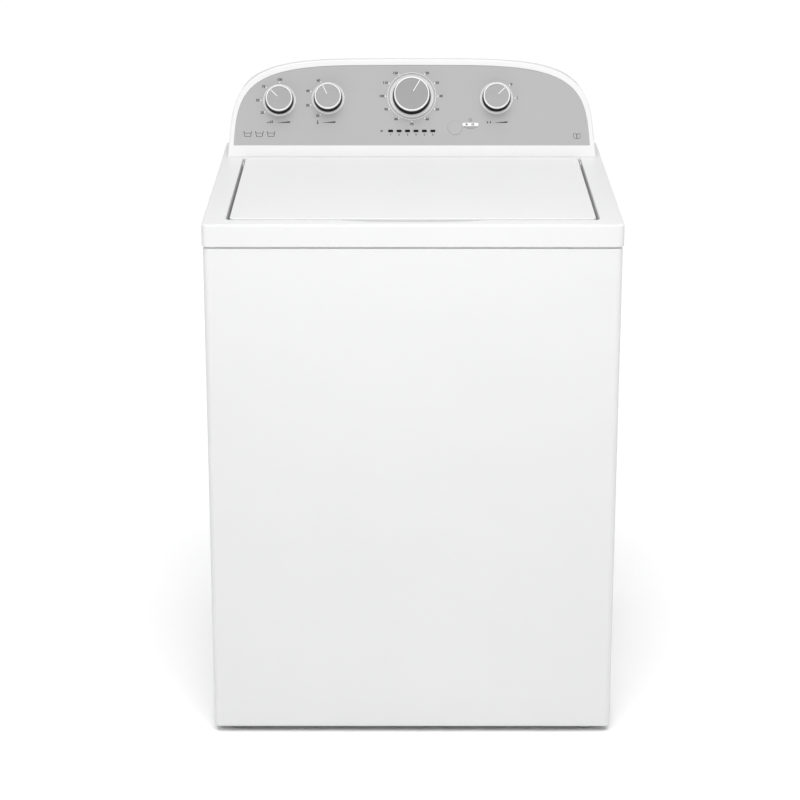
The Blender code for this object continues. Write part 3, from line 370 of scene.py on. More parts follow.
def tube(bm, points, radius, sides=12, caps=True, radii=None):
    """A tube along points, with an even twist."""
    rings = []
    points = [Vector(point) for point in points]
    turned = None
    for i, point in enumerate(points):
        ahead = points[min(i + 1, len(points) - 1)] - points[max(i - 1, 0)]
        ahead.normalize()
        if turned is None:
            turned = ahead.orthogonal().normalized()
        turned = (turned - ahead * turned.dot(ahead)).normalized()
        other = ahead.cross(turned)
        size = radii[i] if radii else radius
        rings.append([point + (turned * x + other * y) for x, y in circle(0, 0, size, sides)])
    part = bmesh.new()
    skin(part, rings, cap_first=caps, cap_last=caps)
    bmesh.ops.recalc_face_normals(part, faces=part.faces)
    pour(part, bm)


def settled(obj):
    """Replace an object's mesh by its evaluated one."""
    bpy.context.view_layer.update()
    mesh = bpy.data.meshes.new_from_object(obj.evaluated_get(bpy.context.evaluated_depsgraph_get()))
    obj.modifiers.clear()
    obj.data = mesh
    return obj


def mend(mesh):
    """Close the slits that a Boolean leaves."""
    bm = bmesh.new()
    bm.from_mesh(mesh)
    bmesh.ops.dissolve_degenerate(bm, dist=1e-6, edges=bm.edges[:])
    bmesh.ops.holes_fill(bm, edges=[edge for edge in bm.edges if edge.is_boundary], sides=0)
    bm.to_mesh(mesh)
    bm.free()


def smooth(mesh, angle=32):
    """Shade smooth but for the sharp edges."""
    mesh.shade_smooth()
    mesh.set_sharp_from_angle(angle=math.radians(angle))


def even_normals(obj):
    """Let the large faces keep flat highlights beside their rounded edges."""
    weighted = obj.modifiers.new("Normals", "WEIGHTED_NORMAL")
    weighted.keep_sharp = True
    weighted.weight = 80


def piece(name, bm, material, body, nodes=(), cut=(), sheet=0.0, joined=(), edge=0.0, angle=32):
    """Make a piece of a bmesh: thickened, joined, cut, edged, then riding on its body."""
    mesh = bpy.data.meshes.new(name)
    bm.to_mesh(mesh)
    bm.free()
    obj = bpy.data.objects.new(name, mesh)
    bpy.context.scene.collection.objects.link(obj)
    if sheet:
        solid = obj.modifiers.new("Sheet", "SOLIDIFY")
        solid.thickness = sheet
        solid.offset = -1.0
        solid.use_even_offset = True
    helpers = []
    for operation, others in (("UNION", joined), ("DIFFERENCE", cut)):
        for other in others:
            helper_mesh = bpy.data.meshes.new("helper")
            other.to_mesh(helper_mesh)
            other.free()
            helper = bpy.data.objects.new("helper", helper_mesh)
            bpy.context.scene.collection.objects.link(helper)
            helpers.append(helper)
            boolean = obj.modifiers.new(operation, "BOOLEAN")
            boolean.operation = operation
            boolean.object = helper
    if edge:
        rounding = obj.modifiers.new("Edge", "BEVEL")
        rounding.width = edge
        rounding.segments = 2
        rounding.limit_method = "ANGLE"
        rounding.angle_limit = math.radians(50)
    settled(obj)
    for helper in helpers:
        bpy.data.objects.remove(helper)
    if helpers:
        mend(obj.data)
    smooth(obj.data, angle)
    obj.data.materials.clear()
    obj.data.materials.append(material)
    even_normals(obj)
    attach(obj, body)
    if nodes:
        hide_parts(*nodes)
    return obj


def shape(maker, *arguments, **options):
    """A new bmesh holding one shape."""
    bm = bmesh.new()
    maker(bm, *arguments, **options)
    return bm


def axis_to(direction):
    """Turns +Z to a direction."""
    return Vector(direction).to_track_quat("Z", "Y").to_matrix().to_4x4()


# ---------------------------------------------------------------- outlines
def slab_outline(half, front, rear, front_radius, rear_radius, reach=0.0, steps=10):
    """A rounded rectangle seen from above, whose front edge can reach out in the middle."""
    front_points = 29
    middle = min(SCOOP_HALF, 0.95 * (half - front_radius))
    outline = arc(-half + front_radius, front + front_radius, front_radius, 180, 270, steps)
    for i in range(front_points):
        across = -1 + 2 * i / (front_points - 1)
        outline.append((across * middle, front - reach * (1 - across ** 4) ** 2))
    outline += arc(half - front_radius, front + front_radius, front_radius, 270, 360, steps)
    outline += arc(half - rear_radius, rear - rear_radius, rear_radius, 0, 90, steps)
    outline += arc(-half + rear_radius, rear - rear_radius, rear_radius, 90, 180, steps)
    return outline


def at_height(outline, z):
    """Lift a flat outline to a height."""
    return [(x, y, z) for x, y in outline]


def arch_outline(half, rise, base=0.0, steps=96):
    """The console's outline as (across, up), from its right foot over the top to its left."""
    power = 2 / ARCH_EXPONENT
    first = math.asin((base / rise) ** (1 / power))
    points = []
    for i in range(steps + 1):
        angle = first + (math.pi - 2 * first) * i / steps
        up = rise * math.sin(angle) ** power
        reach = (half - ARCH_TAPER * up) * abs(math.cos(angle)) ** power
        points.append((math.copysign(reach, math.cos(angle)), up))
    return points


def on_face(outline, height=0.0):
    """World points of an outline drawn on the leaning console face."""
    return [FACE @ Vector((x, up, height)) for x, up in outline]


# ---------------------------------------------------------------- cabinet
def cabinet_wrap():
    """Painted wrap: front and sides folded from one sheet, with its edges turned in."""
    corner = 0.009
    end = CABINET_HIGH.x - 0.030
    low, high = CABINET_LOW.z, CABINET_HIGH.z

    def path(inset, z):
        radius = max(0.001, corner - inset)
        half = CABINET_HIGH.x - inset
        front, rear = CABINET_LOW.y + inset, CABINET_HIGH.y - inset
        points = [(-end, rear)]
        points += arc(-half + radius, rear - radius, radius, 90, 180, 8)
        points += arc(-half + radius, front + radius, radius, 180, 270, 12)
        points += arc(half - radius, front + radius, radius, 270, 360, 12)
        points += arc(half - radius, rear - radius, radius, 0, 90, 8)
        points.append((end, rear))
        return at_height(points, z)

    section = [(0.012, low, 0), (0, low, 0.0075), (0, high, 0.003), (0.010, high, 0.0004),
               (0.010, high - SHEET, 0.0004), (SHEET, high - SHEET, 0.002), (SHEET, low + SHEET, 0.006),
               (0.012, low + SHEET, 0)]
    loops = eased_loops([(path(inset, z), radius) for inset, z, radius in section])
    wrap = shape(skin, loops, closed=False, ring=True)
    close_ends(wrap, loops)
    piece("cabinet_shell", wrap, ENAMEL, "cabinet", ["cabinet_wrap"])


def screw_heads(bm, places, direction, radius=0.0042):
    """Washer-head screws with a hexagonal drive, on a wall."""
    turned = axis_to(direction)
    for place in places:
        at = Matrix.Translation(place) @ turned
        profile = eased([(0, 0.0022, 0), (radius * 0.55, 0.0022, 0.0004), (radius * 0.62, 0.0007, 0),
                         (radius, 0.0007, 0.0003), (radius, 0, 0), (0, 0, 0)], closed=False)
        turn(bm, profile, at, sides=24, ring=False)
        flat(bm, [circle(0, 0, radius * 0.50, 6)], 0.0022, 0.0034, at)


def rear_panel():
    """Galvanised rear wall with stamped ribs, screws and the drain hole."""
    half = REAR_HIGH.x
    low, high = REAR_LOW.z, REAR_HIGH.z
    y = REAR_HIGH.y
    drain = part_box("drain_outlet")
    drain_at = (drain[0] + drain[1]) / 2
    wall = bmesh.new()
    upright = Matrix.Translation((0, y, 0)) @ Matrix.Rotation(math.pi / 2, 4, "X")
    flat(wall, [[(-half, low), (half, low), (half, high), (-half, high)],
                circle(drain_at.x, drain_at.z, 0.020)], 0, SHEET, upright)
    ribs = []
    for x in (-0.22, -0.11, 0.0, 0.11):
        ribs.append((x, low + 0.14, high - 0.10))
    ribs.append((0.22, 0.42, high - 0.10))
    for x, start, end in ribs:
        outline = arc(x, end, 0.013, 0, 180, 10) + arc(x, start, 0.013, 180, 360, 10)
        corners = []
        for grow, out, radius in ((0.004, 0.0, 0), (0.002, 0.0, 0.002), (-0.0030, 0.0028, 0.002), (-0.009, 0.0028, 0)):
            loop = arc(x, end, 0.013 + grow, 0, 180, 10) + arc(x, start, 0.013 + grow, 180, 360, 10)
            corners.append(([(px, y + out - 0.0002, pz) for px, pz in loop], radius))
        rib = bmesh.new()
        skin(rib, eased_loops(corners, 3), cap_first=True, cap_last=True)
        bmesh.ops.recalc_face_normals(rib, faces=rib.faces)
        pour(rib, wall)
    piece("rear_wall", wall, ZINC, "cabinet", ["rear_panel"])
    places = [(side * (half - 0.011), y, low + 0.02 + i * (high - low - 0.05) / 6) for i in range(7) for side in (-1, 1)]
    screws = shape(screw_heads, places, (0, 1, 0))
    piece("rear_panel_screws", screws, STEEL, "cabinet")


def levelling_feet():
    """Threaded studs on rubber pads."""
    for end in ("front", "rear"):
        for side in ("left", "right"):
            node = "levelling_foot_" + end + "_" + side
            low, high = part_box(node)
            centre = Matrix.Translation(((low.x + high.x) / 2, (low.y + high.y) / 2, 0))
            radius = (high.x - low.x) / 2
            pad = shape(turn, eased([(0, 0.0095, 0), (radius - 0.002, 0.0095, 0.001), (radius, 0.0065, 0.001),
                                     (radius, 0.0, 0.001), (radius - 0.004, 0.0, 0.0005),
                                     (radius - 0.005, 0.0008, 0), (0, 0.0008, 0)], closed=False),
                        centre, ring=False)
            piece("foot_pad_" + end + "_" + side, pad, FOOT_GREY, "foot_" + end + "_" + side, [node])
            stud = bmesh.new()
            profile = [(0, 0.0090), (0.0041, 0.0090)]
            turns = 30
            for i in range(turns):
                z = 0.0105 + i * (high.z - 0.0125) / turns
                profile += [(0.0045, z), (0.0039, z + (high.z - 0.0125) / turns / 2)]
            profile += [(0.0035, high.z), (0, high.z)]
            turn(stud, profile, centre, sides=24, ring=False)
            piece("foot_stud_" + end + "_" + side, stud, STEEL, "foot_" + end + "_" + side)


# ---------------------------------------------------------------- top panel
def top_panel():
    """Enamelled deck with rounded edges, the lid's recess, the ledge and the neck."""
    half, rear = PANEL_HIGH.x, PANEL_HIGH.y
    front = PANEL_LOW.y
    bottom = CABINET_HIGH.z + SEAM
    corner = 0.010

    def outer(inset, z):
        radius = max(0.001, corner - inset)
        return at_height(slab_outline(half - inset, front + inset, rear - inset, radius, radius), z)

    def recess(z):
        return at_height(slab_outline(*RECESS, *RECESS_RADII, SCOOP_REACH), z)

    def roll(point):
        """Radius of the deck's edge round the recess: wide at the sides and in the scoop."""
        behind = min(1.0, max(0.0, (point[1] - RECESS[1]) / 0.020))
        ahead = min(1.0, max(0.0, (RECESS[1] - point[1]) / SCOOP_REACH))
        return 0.0016 + 0.0034 * behind + 0.0030 * ahead

    def neck(inset, z):
        radius = NECK_RADIUS - inset
        return at_height(slab_outline(NECK[0] - inset, NECK[1] + inset, NECK[2] - inset, radius, radius), z)

    corners = [(outer(0.012, bottom), 0), (outer(0, bottom), 0.0045), (outer(0, DECK), 0.004),
               (recess(DECK), [roll(point) for point in recess(DECK)]), (recess(LEDGE), 0.004), (neck(0, LEDGE), 0.006),
               (neck(0, NECK_LOW + 0.0005), 0.001), (neck(-0.004, NECK_LOW + 0.0005), 0)]
    panel = shape(skin, eased_loops(corners, 7))
    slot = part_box("lid_strike")
    strike = (slot[0] + slot[1]) / 2
    cutters = [shape(block, (strike.x - 0.011, strike.y - 0.010, LEDGE - 0.01),
                     (strike.x + 0.011, strike.y + 0.012, LEDGE + 0.004))]
    for side in ("left", "right"):
        low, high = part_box("hinge_bushing_" + side)
        middle = (low + high) / 2
        at = Matrix.Translation((middle.x, middle.y, middle.z)) @ axis_to((1, 0, 0))
        hole = eased([(0, 0.012, 0), (0.0068, 0.012, 0), (0.0068, -0.012, 0), (0, -0.012, 0)], closed=False)
        cutters.append(shape(turn, hole, at, sides=32, ring=False))
    piece("deck", panel, ENAMEL, "cabinet", ["top_panel"], sheet=0.0015, cut=cutters)


# ---------------------------------------------------------------- lid
def lid_panel():
    """Painted lid with rounded edges and a slight crown, open below."""
    half, front, rear = LID_HIGH.x, LID_LOW.y, LID_HIGH.y
    crown = 0.0007
    pin_z = Vector(JOINTS["lid_swing"]["pos_m"]).z
    pin_y = Vector(JOINTS["lid_swing"]["pos_m"]).y

    def outline(inset, z):
        return at_height(slab_outline(half - inset, front + inset, rear - inset, max(0.003, 0.0095 - inset),
                                      max(0.004, 0.014 - inset)), z)

    corners = [(outline(0, LID_LOW.z), 0), (outline(0, LID_HIGH.z - crown), 0.0018)]
    for inset, share in ((0.010, 0.15), (0.035, 0.50), (0.080, 0.82), (0.140, 0.97)):
        corners.append((outline(inset, LID_HIGH.z - crown * (1 - share)), 0.004))
    corners.append((outline(0.215, LID_HIGH.z), 0))
    panel = shape(skin, eased_loops(corners, 6), cap_last=True)
    cutters = []
    for side in (-1, 1):
        inner, outer = sorted((side * 0.2945, side * 0.308))
        cutters.append(shape(block, (inner, pin_y - 0.005, pin_z - 0.010), (outer, pin_y + 0.005, pin_z + 0.005)))
    piece("lid_shell", panel, ENAMEL, "lid", ["lid"], sheet=SHEET, cut=cutters)


def lid_liner():
    """Moulded liner with a rim, a ring that stands out and a sunk field inside it."""
    low = LINER_LOW.z
    half_depth = (LINER_HIGH.y - LINER_LOW.y) / 2

    def outline(inset, z):
        radius = min(0.0085 + inset * 0.8, half_depth - inset - 0.010)
        return at_height(slab_outline(LINER_HIGH.x - inset, LINER_LOW.y + inset, LINER_HIGH.y - inset,
                                      radius, radius), z)

    corners = [(outline(0, low + 0.004), 0), (outline(0, low), 0.001), (outline(0.050, low), 0.004),
               (outline(0.056, low - 0.0042), 0.004), (outline(0.085, low - 0.0042), 0.004),
               (outline(0.092, low - 0.0010), 0.005), (outline(0.150, low - 0.0010), 0)]
    loops = eased_loops(corners, 5)[::-1]
    liner = bmesh.new()
    skin(liner, loops, cap_first=True)
    bmesh.ops.reverse_faces(liner, faces=liner.faces)
    piece("liner_moulding", liner, LINER, "lid", ["lid_liner"], sheet=0.0014)


# ---------------------------------------------------------------- console
def console_shell():
    """White housing whose front rim and rear edge are rounded."""
    wall = 0.0022

    def back_loop(inset):
        outline = arch_outline(CONSOLE_BACK_HALF - inset, CONSOLE_BACK_RISE - inset, inset)
        return [(x, SHELL_HIGH.y, SHELL_LOW.z + up) for x, up in outline]

    def face_loop(inset, height=0.0):
        return on_face(arch_outline(CONSOLE_HALF - inset, CONSOLE_RISE - inset, inset), height)

    def opening(height, grow=0.0001):
        half, rise, base = FASCIA
        return on_face(arch_outline(half + grow, rise + grow, base - grow), height)

    rim = [0.0005 + 0.0030 * min(1.0, up / 0.012) for _, up in arch_outline(CONSOLE_HALF, CONSOLE_RISE)]
    corners = [(back_loop(wall), 0), (back_loop(0), 0.001), (face_loop(0), rim), (opening(0), 0.0006),
               (opening(-0.004), 0), (opening(-0.004, 0.002), 0), (opening(-wall, 0.002), 0),
               (face_loop(wall, -wall), 0.003), (back_loop(wall), 0)]
    shell = shape(skin, eased_loops(corners, 6))
    bmesh.ops.remove_doubles(shell, verts=shell.verts, dist=2e-6)
    bmesh.ops.recalc_face_normals(shell, faces=shell.faces)
    piece("console_housing", shell, WHITE, "cabinet", ["console_shell"])


def lens_outline(x, grow):
    """Round-ended outline of one indicator lens."""
    radius = LENS_SIZE[1] / 2 + grow
    straight = (LENS_SIZE[0] - LENS_SIZE[1]) / 2
    return (arc(x + straight, LENS_UP, radius, -90, 90, 10)
            + arc(x - straight, LENS_UP, radius, 90, 270, 10))


def lens_places():
    """The lenses' places across the face."""
    return [(i - (LENS_COUNT - 1) / 2) * LENS_PITCH for i in range(LENS_COUNT)]


def knob_place(name):
    """Where a knob's axis meets the face, as (across, up)."""
    place = FACE.inverted() @ Vector(JOINTS[name + "_turn"]["pos_m"])
    return place.x, place.y


def button_place():
    """Where the start button stands, as (across, up)."""
    low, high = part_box("start_button")
    place = FACE.inverted() @ ((low + high) / 2)
    return place.x, place.y


KNOBS = {name: knob_place(name) for name in ("load", "temperature", "cycle", "rinse")}
BUTTON = button_place()
BUTTON_RADIUS = 0.0138


def fascia():
    """Satin grey panel with its holes."""
    outlines = [arch_outline(*FASCIA)]
    outlines += [circle(x, up, 0.0052) for x, up in KNOBS.values()]
    outlines.append(circle(*BUTTON, BUTTON_RADIUS + 0.0001, 96))
    outlines += [lens_outline(x, FIT) for x in lens_places()]
    panel = shape(flat, outlines, FASCIA_TOP - FASCIA_SHEET, FASCIA_TOP, FACE)
    piece("fascia_panel", panel, FASCIA_GREY, "cabinet", ["console_fascia"])


def lenses():
    """Strip with six glossy round-ended lenses."""
    back = FASCIA_TOP - FASCIA_SHEET - FIT
    half = LENS_PITCH * LENS_COUNT / 2
    strip = shape(block, (-half, LENS_UP - 0.005, back - 0.003), (half, LENS_UP + 0.005, back), FACE, 0.0006)
    for x in lens_places():
        flat(strip, [lens_outline(x, 0)], back - 0.001, FASCIA_TOP + 0.0004, FACE)
    piece("lens_strip", strip, LENS, "cabinet", ["indicator_lenses"])


def bezel(name, rings, field):
    """Raised light rings on the fascia round a knob, each (outer radius, width), over a flat field."""
    x, up = KNOBS[name]
    at = FACE @ Matrix.Translation((x, up, FASCIA_TOP))
    bm = bmesh.new()
    for outer, width in rings:
        profile = eased([(outer - width, 0.00005, 0), (outer - width, 0.0009, 0.0005), (outer, 0.0009, 0.0005),
                         (outer, 0.00005, 0)], steps=5)
        turn(bm, profile, at, sides=96)
    piece(name + "_bezel", bm, RIM, "cabinet")
    washer = shape(turn, [(field[0], 0.00004), (field[1], 0.00004), (field[1], 0.00022), (field[0], 0.00022)],
                   at, sides=96)
    piece(name + "_dial_plate", washer, BEZEL, "cabinet")


def knob(name, pointer_angle):
    """Black body, bright rim and brushed face, with a pointer line."""
    low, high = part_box(name + "_knob")
    radius = (high.x - low.x) / 2
    x, up = KNOBS[name]
    at = FACE @ Matrix.Translation((x, up, 0))
    body = name + "_knob"
    under = FASCIA_TOP + FIT
    top = 0.017
    face_radius = radius * 0.925
    stem = 0.004
    profile = eased([(0, top - 0.0022, 0), (face_radius - 0.0014, top - 0.0022, 0),
                     (face_radius - 0.0014, top - 0.0046, 0), (face_radius + 0.0002, top - 0.0046, 0.0002),
                     (radius - 0.0004, under + 0.003, 0.002), (radius, under + 0.0010, 0.0006), (radius, under, 0.0002),
                     (radius - 0.002, under, 0), (stem, under, 0), (stem, -0.0125, 0.0006), (0, -0.0125, 0)],
                    closed=False)
    piece(name + "_grip", shape(turn, profile, at, sides=96, ring=False), KNOB_BLACK, body, [body])
    width = 0.0019 if radius < 0.03 else 0.0021
    rim = eased([(face_radius - width, top - 0.0021, 0), (face_radius - width, top - 0.0002, 0.0003),
                 (face_radius - width * 0.4, top, 0.0006), (face_radius, top - 0.0008, 0.0006),
                 (face_radius + 0.0004, top - 0.0045, 0.0003), (face_radius - 0.0013, top - 0.0045, 0),
                 (face_radius - 0.0013, top - 0.0021, 0)], steps=4)
    piece(name + "_rim", shape(turn, rim, at, sides=96), RIM, body)
    dished = [(0, top - 0.0014), (face_radius * 0.5, top - 0.00125), (face_radius - width - 0.0002, top - 0.0009),
              (face_radius - width - 0.0001, top - 0.0021), (0, top - 0.0021)]
    # The cycle knob's face gets the darker copy of the same brushed metal: painted shade.
    brushed = BRUSHED if radius < 0.03 else BRUSHED_SHADED
    piece(name + "_face", shape(turn, dished, at, sides=96, ring=False), brushed, body)
    line = (face_radius - width) * 0.98
    inner = line * 0.20
    half = 0.0006 if radius < 0.03 else 0.0007
    outline = [(-half, inner), (half, inner), (half, line), (-half, line)]
    turned = at @ Matrix.Rotation(math.radians(-pointer_angle), 4, "Z")
    pointer = shape(flat, [outline], top - 0.0016, top - 0.00075, turned)
    piece(name + "_pointer", pointer, WHITE_INK, body)


def start_button():
    """Round button in the fascia's colour, with a fine groove round it."""
    x, up = BUTTON
    at = FACE @ Matrix.Translation((x, up, 0))
    top = FASCIA_TOP + 0.0008
    flange = FASCIA_TOP - FASCIA_SHEET - FIT
    radius = BUTTON_RADIUS
    profile = eased([(0, top - 0.0006, 0), (radius * 0.6, top - 0.0005, 0.002), (radius, top - 0.0002, 0.0009),
                     (radius, flange, 0), (radius + 0.0022, flange, 0.0004), (radius + 0.0022, flange - 0.0015, 0.0004),
                     (0.005, flange - 0.0015, 0), (0.005, flange - 0.010, 0.0006), (0, flange - 0.010, 0)],
                    closed=False)
    piece("start_button_cap", shape(turn, profile, at, sides=96, ring=False), FASCIA_GREY, "start_button",
          ["start_button"])


# ---------------------------------------------------------------- printed marks
def mark_text(bm, text, x, up, size, align="CENTER"):
    """A number printed on the fascia."""
    curve = bpy.data.curves.new("text", "FONT")
    curve.body = text
    curve.size = size
    curve.offset = size * 0.040
    curve.align_x = align
    curve.align_y = "CENTER"
    curve.extrude = INK / 2
    curve.resolution_u = 4
    curve_to(bm, curve, FACE @ Matrix.Translation((x, up, FASCIA_TOP + INK / 2 + 0.00002)))


def mark(bm, outlines, x, up, lift=0.00002):
    """A flat printed shape on the fascia, drawn about its own centre."""
    flat(bm, outlines, FASCIA_TOP + lift, FASCIA_TOP + lift + INK, FACE @ Matrix.Translation((x, up, 0)))


def strip(width, height, x=0.0, up=0.0):
    """A small rectangle."""
    return [(x - width / 2, up - height / 2), (x + width / 2, up - height / 2),
            (x + width / 2, up + height / 2), (x - width / 2, up + height / 2)]


def dial_scale(light, dark, name, labels, radius, size=0.0066):
    """Dots round a knob, each with its number outside it, at angles clockwise from the top."""
    x, up = KNOBS[name]
    for angle, label in labels.items():
        across, along = math.sin(math.radians(angle)), math.cos(math.radians(angle))
        mark(light, [circle(0, 0, 0.0011, 20)], x + across * radius, up + along * radius)
        gap = 0.0024 if abs(across) > 0.2 else 0.0050
        align = "CENTER" if abs(across) < 0.2 else "LEFT" if across > 0 else "RIGHT"
        mark_text(dark, label, x + across * (radius + gap), up + along * (radius + gap), size, align)


def level_bars(bm, x, up, count=4):
    """Bars of rising height, for a size."""
    for i in range(count):
        height = 0.0016 + 0.0012 * i
        mark(bm, [strip(0.0018, height, 0, height / 2)], x + i * 0.0030, up)


def wedge(bm, x, up, width=0.026):
    """A long rising wedge, for less to more."""
    mark(bm, [[(0, -0.0016), (width, -0.0016), (width, 0.0018)]], x, up)


def drop(bm, x, up, radius=0.0014):
    """A water drop."""
    outline = arc(0, 0, radius, 160, 380, 14) + [(0, radius * 2.3)]
    mark(bm, [outline], x, up)


def thermometer(bm, x, up):
    """A thermometer, for a temperature."""
    mark(bm, [arc(0, 0, 0.0016, 120, 420, 14) + arc(0, 0.0048, 0.0008, 0, 180, 8)], x, up)


def wash_tub(bm, x, up, width=0.016):
    """The care symbol of a tub with water."""
    half = width / 2
    line = 0.0009
    outline = [(-half, 0.0055), (-half * 0.70, -0.0055), (half * 0.70, -0.0055), (half, 0.0055),
               (half - line * 1.2, 0.0055), (half * 0.70 - line, -0.0055 + line), (-half * 0.70 + line, -0.0055 + line),
               (-half + line * 1.2, 0.0055)]
    mark(bm, [outline], x, up)
    count = 24
    upper = [(-half * 0.86 + half * 1.72 * i / count, 0.0018 + 0.0007 * math.sin(i / count * 4 * math.pi))
             for i in range(count + 1)]
    lower = [(px, py - line) for px, py in reversed(upper)]
    mark(bm, [upper + lower], x, up)


def open_book(bm, x, up):
    """An open book, for the instructions."""
    width, height, line = 0.0063, 0.0105, 0.0007
    for side in (-1, 1):
        outer = [(0, -height / 2), (side * width, -height / 2 + 0.0012), (side * width, height / 2), (0, height / 2 - 0.0012)]
        inner = [(side * line, -height / 2 + line * 1.6), (side * (width - line), -height / 2 + 0.0012 + line * 0.8),
                 (side * (width - line), height / 2 - line), (side * line, height / 2 - 0.0012 - line)]
        mark(bm, [outer, inner], x, up)


def start_marks(light, dark):
    """Run and pause signs on a light bar beside the button, with a diamond above."""
    x, up = BUTTON[0] + 0.0285, BUTTON[1] + 0.006
    bar = arc(0.012, 0, 0.0029, -90, 90, 8) + arc(-0.012, 0, 0.0029, 90, 270, 8)
    mark(light, [bar], x, up)
    mark(dark, [[(-0.0090, -0.0021), (-0.0035, 0), (-0.0090, 0.0021)]], x, up, lift=0.0001)
    for across in (0.0030, 0.0060):
        mark(dark, [strip(0.0018, 0.0042, across)], x, up, lift=0.0001)
    diamond = [[(0, 0.0036), (-0.0036, 0), (0, -0.0036), (0.0036, 0)],
               [(0, 0.0027), (-0.0027, 0), (0, -0.0027), (0.0027, 0)]]
    mark(dark, diamond, x, up + 0.0085)
    for row, count in ((0.0052, 9), (0.0078, 5)):
        for i in range(count):
            mark(dark, [strip(0.0020, 0.0009)], x + (i - (count - 1) / 2) * 0.0029, up - row)


def printed_marks():
    """All that is printed on the fascia."""
    light, dark = bmesh.new(), bmesh.new()
    minutes = {angle: str(10 + angle // 3) for angle in range(30, 360, 30)}
    dial_scale(light, dark, "cycle", minutes, 0.0485)
    dial_scale(light, dark, "load", {-130: "25", -90: "50", -45: "75", 0: "100"}, 0.0345)
    dial_scale(light, dark, "temperature", {-155: "20", -112: "30", -68: "40", -23: "60"}, 0.0345)
    dial_scale(light, dark, "rinse", {45: "0", 90: "1"}, 0.0345)
    captions_up = 0.0665
    level_bars(dark, KNOBS["load"][0] - 0.022, captions_up - 0.0020)
    wedge(dark, KNOBS["load"][0] - 0.006, captions_up)
    thermometer(dark, KNOBS["temperature"][0] - 0.019, captions_up - 0.0020)
    wedge(dark, KNOBS["temperature"][0] - 0.012, captions_up)
    drop(dark, KNOBS["rinse"][0] - 0.017, captions_up - 0.0008)
    drop(dark, KNOBS["rinse"][0] - 0.0115, captions_up - 0.0008)
    wedge(dark, KNOBS["rinse"][0] - 0.006, captions_up)
    for i, x in enumerate(lens_places()):
        mark_text(dark, str(i + 1), x, LENS_UP - 0.0072, 0.0048)
    mark(dark, [[(-0.0030, -0.0020), (0.0030, 0), (-0.0030, 0.0020)]], lens_places()[0] - LENS_PITCH, LENS_UP)
    for i, x in enumerate((-0.303, -0.2815, -0.260)):
        wash_tub(dark, x, 0.0440)
    open_book(dark, 0.305, 0.0400)
    start_marks(light, dark)
    piece("white_print", light, WHITE_INK, "cabinet")
    piece("dark_print", dark, DARK_INK, "cabinet")


# ---------------------------------------------------------------- back of the console
def rear_cover():
    """Galvanised cover with an embossed field and its screws."""
    inset = 0.0031
    y = COVER_HIGH.y
    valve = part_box("inlet_valve")
    valve_z = Vector(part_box("inlet_valve")[1]).z - 0.018
    valve_x = (valve[0].x + valve[1].x) / 2
    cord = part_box("cord_inlet")
    cord_at = (cord[0] + cord[1]) / 2
    outline = [(x, max(up, inset)) for x, up in
               arch_outline(CONSOLE_BACK_HALF - inset, CONSOLE_BACK_RISE - inset)]
    base = SHELL_LOW.z
    outlines = [outline]
    for side in (-1, 1):
        outlines.append(circle(valve_x + side * 0.023, valve_z - base, 0.0135))
    outlines.append(circle(cord_at.x, cord_at.z - base, 0.0105))
    at = Matrix.Translation((0, y, base)) @ Matrix.Rotation(math.pi / 2, 4, "X")
    cover = shape(flat, outlines, 0, SHEET, at)
    for x in (-0.060, 0.060, 0.155):
        for row in range(6):
            up = 0.040 + row * 0.010
            louvre = bmesh.new()
            block(louvre, (x - 0.020, y - 0.0004, base + up), (x + 0.020, y + 0.0022, base + up + 0.0040), round_by=0.0011)
            pour(louvre, cover)
    piece("console_back_plate", cover, ZINC, "cabinet", ["console_rear_cover"])
    places = [(x, y, base + 0.012) for x in (-0.30, -0.10, 0.10, 0.30)]
    places += [(x, y, base + 0.143) for x in (-0.17, 0.0, 0.17)]
    piece("console_screws", shape(screw_heads, places, (0, 1, 0)), STEEL, "cabinet")


def inlet_valve():
    """Valve block with its two threaded nozzles, solenoids and coloured collars."""
    low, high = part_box("inlet_valve")
    rear = COVER_LOW.y - 0.001
    valve_z = high.z - 0.018
    valve_x = (low.x + high.x) / 2
    body = shape(block, (low.x, low.y, valve_z - 0.018), (high.x, rear, high.z), Matrix(), 0.003)
    bores = []
    joined = []
    for side in (-1, 1):
        x = valve_x + side * 0.023
        at = Matrix.Translation((x, rear, valve_z)) @ axis_to((0, 1, 0))
        length = high.y - rear
        profile = [(0, -0.004), (0.0118, -0.004), (0.0118, 0.004)]
        turns = 11
        pitch = (length - 0.006) / turns
        for i in range(turns):
            z = 0.004 + i * pitch
            profile += [(0.0112, z + pitch * 0.20), (0.0125, z + pitch * 0.45), (0.0125, z + pitch * 0.60),
                        (0.0112, z + pitch * 0.85)]
        profile += [(0.0112, length - 0.0012), (0.0104, length), (0, length)]
        joined.append(shape(turn, profile, at, ring=False))
        bores.append(shape(turn, [(0, 0.003), (0.0085, 0.003), (0.0085, length + 0.01), (0, length + 0.01)], at,
                           ring=False))
        down = Matrix.Translation((x, low.y + 0.015, low.z))
        joined.append(shape(turn, eased([(0, 0, 0), (0.012, 0, 0.001), (0.012, 0.030, 0.001), (0, 0.030, 0)],
                                        closed=False), down, ring=False))
    piece("valve_body", body, WHITE, "cabinet", ["inlet_valve"], joined=joined, cut=bores)
    for side, material, word in ((-1, THREAD_RED, "hot"), (1, THREAD_BLUE, "cold")):
        x = valve_x + side * 0.023
        at = Matrix.Translation((x, COVER_HIGH.y + 0.0004, valve_z)) @ axis_to((0, 1, 0))
        collar = eased([(0.0128, 0, 0), (0.0128, 0.003, 0.0006), (0.0170, 0.003, 0.0010), (0.0170, 0, 0)])
        piece(word + "_collar", shape(turn, collar, at), material, "cabinet")


